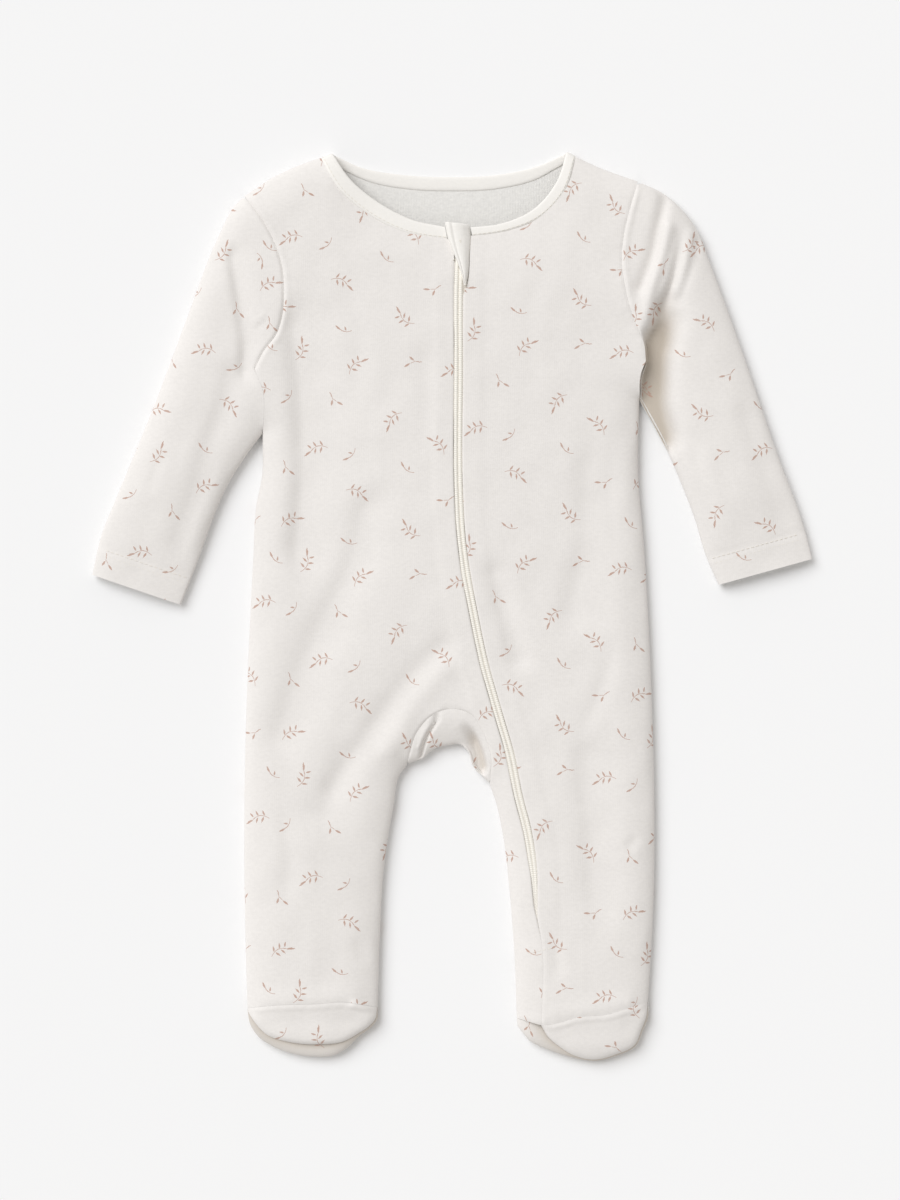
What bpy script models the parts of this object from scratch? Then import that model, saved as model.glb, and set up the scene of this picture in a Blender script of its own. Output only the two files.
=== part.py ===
"""Footed baby sleepsuit with a curved front zip, laid out flat on its back.

Every piece of cloth is a wall of real thickness. The front panels, insteps and
upper sides of the sleeves follow one height field, and the back panel, soles and
under sides follow another, so that pieces meet at their seams. Both fields are
worked out from the distance to the garment's outline, plus a table of folds.

The frame has its origin on the surface under the middle of the garment, +X
towards the wearer's left sleeve, +Y towards the neck and +Z up. Sizes are in
millimetres until a mesh is made.
"""

import bmesh
import bpy
import numpy as np

MM = 0.001
COLLECTION = "footed_sleepsuit"
GUIDES = "zip_cutters"

# Cloth and its rise, mm
WALL = 1.4
SEAM_GAP = 0.3
FOLD_Z = 5.0
ROLL_RISE = 7.5
ROLL_REACH = 22.0
BODY_RISE = 2.0
BODY_REACH = 95.0
UNDER_REACH = 8.0
FOLD_FADE = 12.0
ON_FOLD = 0.35
LEAST_REACH = 0.5
TIP_PARTED = 0.35

# Outline, (x, y) in mm. "right" is the wearer's right, at -X.
SHOULDER_RIGHT = ((-72.0, 271.0), (-91.0, 264.5), (-108.5, 256.5), (-125.0, 245.5))
SHOULDER_LEFT = ((68.0, 272.0), (88.0, 262.5), (110.5, 254.5))
SLEEVE_OUT_RIGHT = (
    (-125.0, 245.5), (-131.0, 239.5), (-140.0, 222.5), (-159.5, 172.0), (-178.0, 122.5),
    (-200.5, 67.5), (-210.5, 42.5), (-216.0, 19.0),
)
SLEEVE_OUT_LEFT = (
    (110.5, 254.5), (126.0, 247.0), (138.0, 236.5), (146.5, 224.5), (153.0, 208.0),
    (171.5, 157.5), (194.0, 92.0), (211.0, 44.5), (215.0, 28.5),
)
SLEEVE_IN_RIGHT = (
    (-114.0, 103.5), (-123.0, 91.5), (-136.0, 70.5), (-144.5, 50.5), (-151.0, 32.0), (-163.0, 1.0),
)
SLEEVE_IN_LEFT = (
    (111.5, 124.0), (119.5, 110.0), (128.0, 93.5), (136.0, 75.0), (144.5, 53.0), (151.0, 31.5),
    (159.0, 13.0),
)
SIDE_RIGHT = (
    (-114.0, 103.5), (-114.5, 76.5), (-117.5, 62.0), (-119.5, 30.5), (-122.0, -20.0),
    (-124.5, -90.0), (-125.0, -140.0), (-124.0, -209.0), (-122.9, -242.2),
)
SIDE_LEFT = (
    (111.5, 124.0), (111.0, 76.5), (114.0, 40.0), (119.0, -56.5), (120.5, -115.0),
    (120.0, -176.5), (118.5, -209.0), (116.5, -239.2),
)
INNER_RIGHT = (
    (-27.0, -94.0), (-32.0, -101.0), (-35.5, -118.5), (-41.5, -157.5), (-43.5, -190.0),
    (-44.2, -209.0), (-45.2, -241.4),
)
INNER_LEFT = (
    (21.5, -105.5), (25.0, -115.0), (30.0, -137.5), (33.5, -167.0), (36.8, -209.0), (38.2, -246.5),
)
FOOT_RIGHT = (
    (-122.9, -242.2), (-121.5, -250.0), (-117.0, -257.0), (-108.5, -263.0), (-96.0, -267.7),
    (-83.5, -269.5), (-70.0, -268.2), (-62.5, -263.5), (-56.0, -257.0), (-49.0, -252.0),
    (-45.2, -247.0), (-45.2, -241.4),
)
FOOT_LEFT = (
    (38.2, -246.5), (39.5, -254.0), (44.5, -259.0), (57.5, -265.5), (74.0, -270.5),
    (84.5, -272.0), (97.5, -269.0), (110.0, -262.5), (113.5, -254.0), (117.0, -245.0), (116.5, -239.2),
)
CROTCH = (
    (-27.0, -94.0), (-17.5, -90.5), (-12.5, -86.0), (-2.5, -83.0), (4.0, -82.5), (8.0, -85.5),
    (12.0, -95.0), (21.5, -105.5),
)
NECK_BACK = (
    (-72.0, 271.0), (-56.0, 263.5), (-32.0, 259.0), (-2.0, 257.5), (28.0, 259.0), (52.0, 264.5),
    (68.0, 272.0),
)

# Seams, (x, y) in mm
ARMHOLE_RIGHT = (
    (-125.0, 245.5), (-114.5, 232.0), (-107.0, 218.0), (-102.0, 202.5), (-101.0, 189.5),
    (-102.0, 173.5), (-105.5, 162.5), (-113.0, 152.5), (-118.5, 142.0),
)
ARMHOLE_LEFT = (
    (110.5, 254.5), (105.5, 237.5), (102.0, 222.5), (100.5, 206.5), (102.5, 191.0),
    (105.5, 178.0), (110.0, 166.0), (114.0, 156.5), (115.0, 146.5),
)
SLIT_RIGHT = ((-118.5, 142.0), (-113.2, 127.5), (-113.0, 112.0), (-114.0, 103.5))
SLIT_LEFT = ((115.0, 146.5), (112.0, 138.5), (111.5, 124.0))
NECK_SEAM_RIGHT = ((-78.5, 268.3), (-68.0, 250.0), (-48.5, 233.5), (-26.0, 223.0), (-3.5, 219.5))
NECK_SEAM_LEFT = ((11.5, 221.5), (31.0, 224.5), (52.0, 233.0), (65.5, 247.0), (73.0, 269.2))
NECK_FREE_RIGHT = ((-72.0, 271.0), (-62.0, 256.0), (-44.0, 241.0), (-23.0, 230.5), (-5.0, 226.8))
NECK_FREE_LEFT = ((10.5, 226.5), (28.0, 228.5), (49.0, 238.0), (62.0, 254.0), (68.0, 272.0))
NECK_SEAM_BACK = (
    (-78.5, 268.3), (-65.0, 261.5), (-50.0, 255.0), (-26.0, 250.5), (-2.0, 249.5),
    (28.0, 251.0), (50.0, 256.5), (62.0, 263.0), (73.0, 269.2),
)
GUSSET_ARC = (
    (-27.3, -92.5), (-21.0, -74.0), (-12.5, -65.0), (-1.0, -61.0), (10.0, -64.0), (18.0, -75.5),
    (22.5, -89.0), (22.2, -103.5),
)
ANKLE_RIGHT = ((-123.0, -240.0), (-108.0, -238.0), (-81.5, -237.0), (-65.5, -236.0), (-45.2, -239.5))
ANKLE_LEFT = (
    (52.8, -250.0), (60.5, -249.0), (74.0, -245.0), (93.5, -243.0), (103.0, -240.0), (116.5, -236.5),
)
STRIP_END = ((38.2, -246.0), (52.8, -250.0))
TOE_RIGHT = (
    (-122.7, -242.3), (-119.0, -248.0), (-112.0, -255.5), (-97.0, -260.5), (-80.0, -261.7),
    (-65.5, -260.0), (-56.5, -255.2), (-50.0, -250.8), (-46.4, -246.5), (-45.5, -241.6),
)
TOE_LEFT = (
    (52.8, -250.6), (56.5, -257.0), (63.5, -263.0), (72.0, -268.3), (84.5, -271.0),
    (97.0, -268.0), (109.0, -261.8), (112.5, -253.5), (115.8, -244.5), (116.4, -239.3),
)
HEEL_Y = -209.0

# Zip, mm: its centre line, its half width at heights y, and how the fronts part above it
ZIP_LINE = (
    (4.5, 221.0), (3.9, 210.0), (3.3, 186.0), (3.3, 145.0), (3.5, 64.0), (4.6, 45.0), (7.2, 23.0),
    (11.8, -2.0), (18.3, -33.0), (27.3, -65.0), (34.2, -89.0), (39.0, -113.0), (44.5, -134.5),
    (48.0, -157.0), (50.3, -187.0), (52.3, -197.0), (52.8, -250.0),
)
ZIP_HALF = ((-187.0, 0.15), (-178.0, 1.1), (-150.0, 2.4), (-130.0, 2.6), (200.0, 2.6))
ZIP_TOP = 217.5
ZIP_FOOT = -176.0
FLARE_RIGHT = ((-3.5, 219.5), (-0.4, 212.0), (0.7, 206.0))
FLARE_LEFT = ((11.5, 221.5), (10.9, 202.0), (9.4, 193.0), (6.2, 186.0))
TAPE_REACH = 6.0
COIL_GAP = 0.6
TAPE_ROOM = 0.9
TAPE_DEPTH = 3.0
COIL_DROP = 0.1

# Folds: name, depth (+ is a ridge), half width, line
FOLDS = (
    ("right side", -2.0, 9.0, ((-101.5, 139.0), (-98.0, 76.0), (-99.5, 40.0))),
    ("right flank", -2.2, 10.0, ((-57.0, 59.0), (-66.5, 24.5), (-84.0, -8.0), (-112.5, -76.0))),
    ("right groin", -1.8, 8.0, ((-10.0, -20.0), (-26.0, -35.0), (-51.0, -66.0), (-76.0, -104.5))),
    ("groin ridge", 1.5, 7.0, ((-10.0, -35.0), (-26.0, -55.0), (-41.5, -85.5))),
    ("beside the zip", -2.0, 7.0, ((20.5, 20.5), (28.0, -2.5), (36.0, -28.0))),
    ("left belly", -1.8, 10.0, ((76.0, 82.0), (73.0, 24.5), (66.5, -2.5))),
    ("left knee", -1.6, 10.0, ((76.0, -92.0), (81.0, -176.0))),
    ("right knee", -1.5, 9.0, ((-70.0, -86.0), (-81.5, -118.5))),
    ("right arm", -1.5, 7.0, ((-135.0, 139.0), (-148.0, 99.5), (-161.5, 58.0), (-167.5, 39.5))),
    ("right cap", -2.4, 6.0, ((-131.5, 208.5), (-122.0, 171.5), (-121.5, 148.0))),
    ("left arm", -1.2, 8.0, ((171.0, 115.0), (186.0, 70.0), (190.0, 55.0))),
    ("right ankle ridge", 1.2, 4.0, ((-112.0, -234.0), (-60.0, -232.5))),
    ("left ankle ridge", 1.2, 4.0, ((62.0, -243.0), (104.0, -236.0))),
    ("right instep", -3.2, 5.5, ((-110.0, -247.0), (-60.0, -247.0))),
    ("left instep", -2.6, 6.5, ((66.0, -254.0), (104.0, -250.0))),
)
SLEEVE_FOLDS = (
    ("cap roll", 1.8, 5.0, ((113.0, 232.0), (110.0, 205.0), (113.5, 180.0))),
    ("cap trough", -3.6, 3.6, ((127.0, 243.0), (122.0, 226.0), (118.0, 206.0), (112.5, 186.0))),
    ("cap ridge", 2.6, 4.6, ((133.0, 232.0), (125.0, 212.0), (118.0, 188.0))),
    ("arm valley", -6.0, 6.5,
     ((137.5, 227.0), (132.0, 194.0), (124.0, 166.0), (121.0, 142.0), (119.0, 120.0))),
    ("outer trough", -2.4, 3.5, ((148.0, 214.0), (146.0, 203.0), (138.0, 190.0))),
)
GUSSET_FOLDS = (
    ("right crease", -2.2, 2.4, ((-7.0, -66.0), (-16.0, -87.0))),
    ("left hollow", -4.6, 4.2, ((9.0, -72.0), (15.5, -93.0))),
)

# Presses: name, reach, share of the rise kept, line
PRESSES = (
    ("right cuff", 60.0, 0.42, ((-216.0, 19.0), (-163.0, 1.0))),
    ("left cuff", 60.0, 0.42, ((159.0, 13.0), (215.0, 28.5))),
    ("neck edge", 34.0, 0.72, ((-44.0, 241.0), (-4.0, 226.5), (10.0, 226.5), (49.0, 238.0))),
)

# Section steps from a folded edge, a seam, the zip and a neck corner, mm
FOLD_STEPS = (0.0, 0.0, 1.5, 6.0, 13.0)
SEAM_STEPS = (0.0, 0.7, 2.5, 6.0, 13.0)
NECK_STEPS = (0.0, 3.0)
SHOULDER_SHARES = (0.0, 0.014, 0.2, 0.6)
SEAM_FLAT = 1.2
YOKE_TURN = 0.75
ZIP_STRIP = 25.0
LEFT_ZIP_STEPS = (0.0, 7.0, 14.0)
LEG_WIDTH = 80.0
LEFT_FRONT_WIDTH = 95.0
MERGE = 0.01
TINY = 1e-6

# Rows and even columns of the panels
NECK_COLUMNS = {"right": 11, "left": 9, "back": 10}
PANEL_COLUMNS = {"right": 8, "left": 8, "back": 14, "leg": 4, "zip strip": 5}
BODY_ROWS = {"right": 12, "left": 13, "back": 9}
SHIN_ROWS = {"front": 10, "back": 7}
SLEEVE_ROWS = 11
TAPE_SECTIONS = 34

# Rows shared by the pieces on both sides of a seam, as fractions of its length
ARM_V = (0.0, 0.013, 0.052, 0.113, 0.21, 0.32, 0.43, 0.54, 0.65, 0.76, 0.86, 0.94, 0.985, 1.0)
SLIT_V = (0.0, 0.33, 0.67, 1.0)
ARC_V = (0.0, 0.2, 0.4, 0.6, 0.8, 1.0)

# Sleeve sections, as fractions from the body side to the outer fold
SLEEVE_U = (0.0, 0.012, 0.06, 0.17, 0.31, 0.45, 0.59, 0.73, 0.86, 0.96, 1.0)
CAP_U = (0.0, 0.012, 0.06, 0.13, 0.2, 0.27, 0.35, 0.43, 0.51, 0.6, 0.72, 0.85, 0.96, 1.0)
SLEEVE_UNDER_U = (0.0, 0.012, 0.1, 0.5, 0.9)

# Rows of the gusset, from the arc to the fold and back, and of the feet, as fractions
GUSSET_FRONT_V = (0.0, 0.03, 0.3, 0.55, 0.78, 0.93)
GUSSET_REAR_V = (1.0, 0.93, 0.7, 0.4, 0.03, 0.0)
INSTEP_V = (0.0, 0.03, 0.15, 0.32, 0.5, 0.68, 0.82, 0.91, 0.97, 1.0)
LIP_V = (0.0, 0.2, 0.55, 1.0)

# How far from its seam a piece's own folds have their full depth, mm
CAP_FADE = 6.0
GUSSET_FADE = 4.0

# Feet, sleeves, binding, guard, mm
SOLE_LENGTH = 60.0
SOLE_STEPS = 4
ANKLE_SHARE = 0.8
START_SHARE = 0.3
RIM_RISE = 3.4
RIM_REACH = 6.0
TOE_ROLL = 3.2
TOE_PROUD = 1.0
TOE_FADE = 8.0
SLEEVE_GAP = 0.36
HEM = 16.5
HEM_PROUD = 0.4
HEM_STEP = 0.6
CUFF_UNDER = 0.8
BINDING_HALF = 1.1
BINDING_PROUD = 0.3
BINDING_LIFT = 1.15
BINDING_PROFILE = (
    (0.0, 0.9), (0.2, 1.0), (0.8, 1.0), (1.0, 0.5), (1.0, -0.5), (0.8, -1.0), (0.2, -1.0), (0.0, -0.9),
)
TIP_CLEAR = 1.2
TIP_REACH = 24.0
COIL_FLAT = (0.3, 0.8)
GUARD_WALL = 1.2
GUARD_ROWS = 6
GUARD_FALL = 0.45
GUARD_LEFT_EDGE = ((-4.2, 228.4), (-1.8, 220.0), (0.9, 212.4), (4.6, 202.0), (6.3, 192.0))
GUARD_RIGHT_EDGE = ((7.5, 227.6), (9.8, 219.0), (9.9, 209.5), (9.4, 200.0), (7.4, 190.6))

# The guard's section: fraction across, height over the panel at its top, and at its tip, mm
GUARD_SECTION = (
    (0.0, 3.2, 0.6), (0.06, 4.6, 1.3), (0.16, 5.4, 1.6), (0.4, 5.5, 1.6), (0.7, 5.4, 1.4),
    (0.86, 3.4, 0.8), (1.0, 0.6, 0.2),
)

# Slider and pull, mm
SLIDER = {"x": 4.3, "low": 213.0, "high": 220.0, "width": 5.0, "plate": 0.8, "web": 1.5, "room": 0.35}
LUG = {"width": 1.1, "length": 2.2, "height": 1.7, "sunk": 0.4, "ahead": 1.0}
PULL = {"length": 9.0, "width": 3.2, "thick": 0.8, "lift": 0.35, "play": 0.3, "end": 1.0}
CUTTER_PAST = 2.0

CLOTH = ("printed brushed cotton interlock", (0.80, 0.76, 0.70), 0.95, 0.0)
PLAIN = ("plain cotton rib", (0.87, 0.84, 0.79), 0.92, 0.0)
TAPE = ("woven polyester zip tape", (0.86, 0.85, 0.82), 0.7, 0.0)
PLASTIC = ("moulded acetal", (0.88, 0.87, 0.84), 0.45, 0.0)


# ---------------------------------------------------------------- curves

def rounded(points, steps=8):
    """A smooth curve through the points, as a polyline."""
    p = np.array(points, float)
    chord = np.diff(p, axis=0)
    h = np.linalg.norm(chord, axis=1)[:, None]
    slope = chord / h
    middle = (slope[:-1] * h[1:] + slope[1:] * h[:-1]) / (h[:-1] + h[1:])
    tangent = np.vstack([slope[:1], middle, slope[-1:]])
    t = np.arange(steps)[:, None] / steps
    parts = []
    for i, length in enumerate(h):
        start, end = tangent[i] * length, tangent[i + 1] * length
        parts.append(
            (2 * t**3 - 3 * t**2 + 1) * p[i] + (t**3 - 2 * t**2 + t) * start
            + (3 * t**2 - 2 * t**3) * p[i + 1] + (t**3 - t**2) * end
        )
    return np.vstack(parts + [p[-1:]])


def joined(*lines):
    """Smooth curves end to end, with a corner where they meet."""
    curves = [rounded(line) for line in lines]
    return np.vstack([curves[0]] + [curve[1:] for curve in curves[1:]])


def run(line):
    """Distance along a polyline at each of its points."""
    return np.concatenate([[0.0], np.cumsum(np.linalg.norm(np.diff(line, axis=0), axis=1))])


def at(line, fraction):
    """Points at fractions of a polyline's length."""
    reach = run(line)
    where = np.asarray(fraction, float) * reach[-1]
    return np.stack([np.interp(where, reach, line[:, k]) for k in range(line.shape[1])], axis=-1)


def part_of(line, start, end, count=40):
    """The stretch of a polyline between two fractions of its length."""
    return at(line, np.linspace(start, end, count))


def nearest_fraction(line, point):
    """Fraction of a polyline's length at its point nearest to a given one."""
    reach = run(line)
    return reach[np.argmin(np.linalg.norm(line - np.array(point), axis=1))] / reach[-1]


def beside(line, gap):
    """A polyline moved sideways, to the left of its direction where gap is positive."""
    way = np.gradient(line, axis=0)
    way /= np.linalg.norm(way, axis=1)[:, None]
    return line + np.reshape(gap, (-1, 1)) * np.stack([-way[:, 1], way[:, 0]], axis=1)


def nearest(xy, line):
    """Distance from each point to a polyline, and the polyline's nearest point."""
    a, b = line[:-1], line[1:]
    ab = b - a
    t = ((xy[:, None] - a) * ab).sum(2) / (ab * ab).sum(1)
    near = a + np.clip(t, 0, 1)[..., None] * ab
    gap = np.linalg.norm(xy[:, None] - near, axis=2)
    best = gap.argmin(1)
    row = np.arange(len(xy))
    return gap[row, best], near[row, best]


def distance(xy, line):
    """Distance from each point to a polyline."""
    return nearest(xy, line)[0]


# ---------------------------------------------------------------- height fields

OUTLINES = [
    joined(SHOULDER_RIGHT, SLEEVE_OUT_RIGHT),
    joined(SHOULDER_LEFT, SLEEVE_OUT_LEFT),
    joined(SLIT_RIGHT, SIDE_RIGHT, FOOT_RIGHT, INNER_RIGHT[::-1], CROTCH, INNER_LEFT, FOOT_LEFT,
           SIDE_LEFT[::-1], SLIT_LEFT[::-1]),
    rounded(SLEEVE_IN_RIGHT),
    rounded(SLEEVE_IN_LEFT),
    rounded(NECK_BACK),
]


def quarter(t):
    """A quarter circle: upright at 0 and level from 1 on."""
    return np.sqrt(1 - (1 - np.clip(t, 0, 1)) ** 2)


def ease(t):
    """A soft step from 0 to 1."""
    t = np.clip(t, 0, 1)
    return t * t * (3 - 2 * t)


def outline_distance(xy):
    """Distance of each point to the garment's outline."""
    flat = xy.reshape(-1, 2)
    return np.min([distance(flat, line) for line in OUTLINES], axis=0).reshape(xy.shape[:-1])


def relief(xy, rows):
    """Sum of the folds in a table."""
    flat = xy.reshape(-1, 2)
    total = np.zeros(len(flat))
    for _, depth, width, line in rows:
        total += depth * np.exp(-((distance(flat, rounded(line)) / width) ** 2))
    return total.reshape(xy.shape[:-1])


SEAMS = [
    joined(ARMHOLE_RIGHT), joined(ARMHOLE_LEFT), rounded(NECK_SEAM_RIGHT), rounded(NECK_SEAM_LEFT),
    rounded(GUSSET_ARC), rounded(ANKLE_RIGHT), rounded(ANKLE_LEFT), rounded(STRIP_END),
]


def across_seams(xy):
    """Points within a narrow strip beside a seam, moved onto it, so that both its sides are level."""
    flat = xy.reshape(-1, 2).copy()
    for seam in SEAMS:
        near, where = nearest(flat, seam)
        close = near < SEAM_FLAT
        flat[close] = where[close]
    return flat.reshape(xy.shape)


def upper(xy):
    """Height of the cloth's upper face."""
    xy = across_seams(xy)
    d = np.maximum(outline_distance(xy), LEAST_REACH)
    rise = ROLL_RISE * quarter(d / ROLL_REACH) + BODY_RISE * ease(d / BODY_REACH)
    flat = xy.reshape(-1, 2)
    for _, reach, keep, line in PRESSES:
        near = distance(flat, np.array(line, float)).reshape(xy.shape[:-1])
        rise = rise * (keep + (1 - keep) * ease(near / reach))
    return FOLD_Z + rise + relief(xy, FOLDS) * ease(d / FOLD_FADE)


def under(xy):
    """Height of the cloth's lower face: level on the surface, turned up at the outline."""
    d = np.maximum(outline_distance(across_seams(xy)), LEAST_REACH)
    return FOLD_Z * (1 - quarter(d / UNDER_REACH))


def with_folds(rows, seam, fade):
    """The upper face with a piece's own folds, which die out towards its seam."""
    def face(xy):
        near = distance(xy.reshape(-1, 2), seam).reshape(xy.shape[:-1])
        edge = np.maximum(outline_distance(xy), LEAST_REACH)
        return upper(xy) + relief(xy, rows) * ease(near / fade) * ease(edge / fade)
    return face


# ---------------------------------------------------------------- lofts

def spaced(width, start, end, middle):
    """Fractions across a width: steps from each side, and even steps between them."""
    first, last = start[-1] / width, 1 - end[-1] / width
    between = np.linspace(first, last, middle + 1)[1:-1]
    return np.concatenate([np.array(start) / width, between, 1 - np.array(end)[::-1] / width])


def patch(top, bottom, left, right, u, v):
    """Points of a surface spanned by four edges, at fractions u across and v down."""
    left_at, right_at = at(left, v), at(right, v)
    corners = (
        (1 - u)[..., None] * ((1 - v)[..., None] * top[0] + v[..., None] * bottom[0])
        + u[..., None] * ((1 - v)[..., None] * top[-1] + v[..., None] * bottom[-1])
    )
    return (
        (1 - v)[..., None] * at(top, u) + v[..., None] * at(bottom, u)
        + (1 - u)[..., None] * left_at + u[..., None] * right_at - corners
    )


def block(left, right, u_top, u_bottom, v, top=None, bottom=None, strips=(0.0, 0.0), turn=1.0):
    """Rows of points between a left and a right edge, with straight ends unless given.

    The first and last column intervals stay at least as wide as the strips, above the last row.
    A turn under 1 makes the columns change their spacing sooner below the top.
    """
    top = np.array([left[0], right[0]]) if top is None else top
    bottom = np.array([left[-1], right[-1]]) if bottom is None else bottom
    v = np.broadcast_to(np.reshape(v, (len(v), -1)), (len(v), len(u_top)))
    u = np.array(u_top) + (np.array(u_bottom) - u_top) * v**turn
    u[:-1, 1] = np.maximum(u[:-1, 1], strips[0])
    u[:-1, -2] = np.minimum(u[:-1, -2], 1 - strips[1])
    return patch(top, bottom, left, right, u, v)


def lay(xy, face, sign, folds, tips=()):
    """Gives points their heights; borders named in folds stop half a seam gap off the outline's fold.

    At the columns named in tips the strip beside the fold tapers to a point.
    """
    xyz = np.dstack([xy, face(xy)])
    border = np.zeros(xyz.shape[:2], bool)
    border[:, 0] |= "left" in folds
    border[:, -1] |= "right" in folds
    border[0] |= "top" in folds
    on_fold = border & (outline_distance(xy) < ON_FOLD)
    flat = xy.reshape(-1, 2)
    at_seam = np.min([distance(flat, seam) for seam in SEAMS], axis=0).reshape(on_fold.shape) < SEAM_FLAT
    parted = FOLD_Z + sign * (SEAM_GAP / 2 + TIP_PARTED * at_seam)
    xyz[..., 2] = np.where(on_fold, parted, xyz[..., 2])
    for column in tips:
        xyz[1, column] = xyz[0, column]
    return xyz


def material(look):
    """A plain finish for one kind of cloth or trim."""
    name, colour, roughness, metallic = look
    found = bpy.data.materials.get(name)
    if found:
        return found
    made = bpy.data.materials.new(name)
    made.use_nodes = True
    shader = made.node_tree.nodes["Principled BSDF"]
    shader.inputs["Base Color"].default_value = (*colour, 1.0)
    shader.inputs["Roughness"].default_value = roughness
    shader.inputs["Metallic"].default_value = metallic
    made.diffuse_color = (*colour, 1.0)
    return made


def add_object(name, shape, look):
    """Puts a finished bmesh, in millimetres, into the garment's collection."""
    bmesh.ops.scale(shape, vec=(MM, MM, MM), verts=shape.verts)
    mesh = bpy.data.meshes.new(name)
    shape.to_mesh(mesh)
    shape.free()
    mesh.materials.append(material(look))
    made = bpy.data.objects.new(name, mesh)
    bpy.data.collections[COLLECTION].objects.link(made)
    return made


def skin(blocks, ring=False):
    """One surface from blocks of rows, which join where they share points."""
    shape = bmesh.new()
    for rows in blocks:
        grid = [[shape.verts.new(point) for point in row] for row in rows]
        count = len(grid[0])
        for above, below in zip(grid, grid[1:]):
            for c in range(count if ring else count - 1):
                n = (c + 1) % count
                shape.faces.new((above[c], below[c], below[n], above[n]))
    bmesh.ops.remove_doubles(shape, verts=shape.verts, dist=MERGE)
    return shape


def cloth(name, blocks, look=CLOTH, wall=WALL, ring=False):
    """A piece of cloth: its outer surface, thickened inwards."""
    made = add_object(name, skin(blocks, ring), look)
    thick = made.modifiers.new("wall", "SOLIDIFY")
    thick.thickness = wall * MM
    thick.offset = -1.0
    thick.use_rim = True
    return made


def bar(name, sections, look):
    """A solid swept through closed sections, with its ends capped."""
    shape = bmesh.new()
    rings = [[shape.verts.new(point) for point in section] for section in sections]
    count = len(rings[0])
    for above, below in zip(rings, rings[1:]):
        for c in range(count):
            n = (c + 1) % count
            shape.faces.new((above[c], below[c], below[n], above[n]))
    shape.faces.new(rings[0])
    shape.faces.new(rings[-1][::-1])
    bmesh.ops.recalc_face_normals(shape, faces=shape.faces)
    return add_object(name, shape, look)


# ---------------------------------------------------------------- panel edges

def zip_edge(side, flare, start_y):
    """The front panel's edge beside the zip: side is -1 for the right front, +1 for the left."""
    line = rounded(ZIP_LINE)
    half = np.interp(line[:, 1], [row[0] for row in ZIP_HALF], [row[1] for row in ZIP_HALF])
    moved = beside(line, side * half)
    return np.vstack([rounded(flare), moved[moved[:, 1] < start_y]])


def body_edges():
    """The edges that the front and back panels share, each moved half a seam gap inwards."""
    gap = SEAM_GAP / 2
    arm = {"right": beside(joined(ARMHOLE_RIGHT), gap), "left": beside(joined(ARMHOLE_LEFT), -gap)}
    slit = {"right": beside(joined(SLIT_RIGHT), gap), "left": beside(joined(SLIT_LEFT), -gap)}
    side = {"right": beside(joined(SIDE_RIGHT), gap), "left": beside(joined(SIDE_LEFT), -gap)}
    for name in ("right", "left"):
        slit[name][0] = arm[name][-1]
        slit[name][-1] = side[name][0]
    return arm, slit, side


ARM, SLIT, SIDE = body_edges()
APEX = max(GUSSET_ARC, key=lambda point: point[1])
ARC = beside(rounded(GUSSET_ARC), SEAM_GAP / 2)
ARC_TOP = nearest_fraction(ARC, APEX)
CROTCH_RIGHT = part_of(ARC, ARC_TOP, 0)
CROTCH_LEFT = part_of(ARC, ARC_TOP, 1)
ARC_APEX = CROTCH_RIGHT[0]


# ---------------------------------------------------------------- panels

SHIN_V = (*np.linspace(0, 0.93, SHIN_ROWS["front"]), 0.995, 1.0)
ANKLE_U = {
    "right": spaced(LEG_WIDTH, FOLD_STEPS, FOLD_STEPS[:4], PANEL_COLUMNS["leg"]),
    "left": spaced(LEFT_FRONT_WIDTH, LEFT_ZIP_STEPS, FOLD_STEPS, PANEL_COLUMNS["left"]),
}


def even(count):
    """Fractions from 0 to 1 in even steps."""
    return np.linspace(0, 1, count + 1)


def level(line, y):
    """Fraction of a downward polyline's length at a height."""
    return np.interp(-y, -line[:, 1], run(line) / run(line)[-1])


def cut_at(line, *heights):
    """A downward polyline cut at heights, from the top down."""
    stops = [0.0] + [level(line, y) for y in heights] + [1.0]
    return [part_of(line, a, b) for a, b in zip(stops, stops[1:])]


def shoulder(points, arm, neck):
    """The folded shoulder, from the armhole to the neck seam."""
    line = rounded(points[::-1])
    inside = (np.abs(line[:, 0]) < abs(arm[0][0])) & (np.abs(line[:, 0]) > abs(neck[0]))
    return np.vstack([arm[:1], line[inside], [neck]])


def neck_fractions(length, corners, count):
    """Fractions round a stretch of the neck: a narrow step at each shoulder corner, even ones between."""
    return spaced(length, NECK_STEPS, NECK_STEPS if corners == 2 else (0.0,), count)


def yoke_top(shoulder_line, neck, count):
    """A front panel's top edge and its fractions, from the armhole over the shoulder to the zip."""
    top = np.vstack([shoulder_line, neck[1:]])
    corner = run(shoulder_line)[-1] / run(top)[-1]
    round_neck = neck_fractions(run(neck)[-1], 1, count)
    u = np.concatenate([np.array(SHOULDER_SHARES) * corner, corner + (1 - corner) * round_neck])
    return top, u, corner


def yoke_rows(u, first, last):
    """Row fractions of a yoke: a fold along the shoulders and a level seam strip along the neck."""
    v = np.repeat(np.concatenate([[0.0], ARM_V])[:, None], len(u), axis=1)
    v[1, (u > first + TINY) & (u < last - TINY)] = ARM_V[1] / 2
    return v


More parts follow.
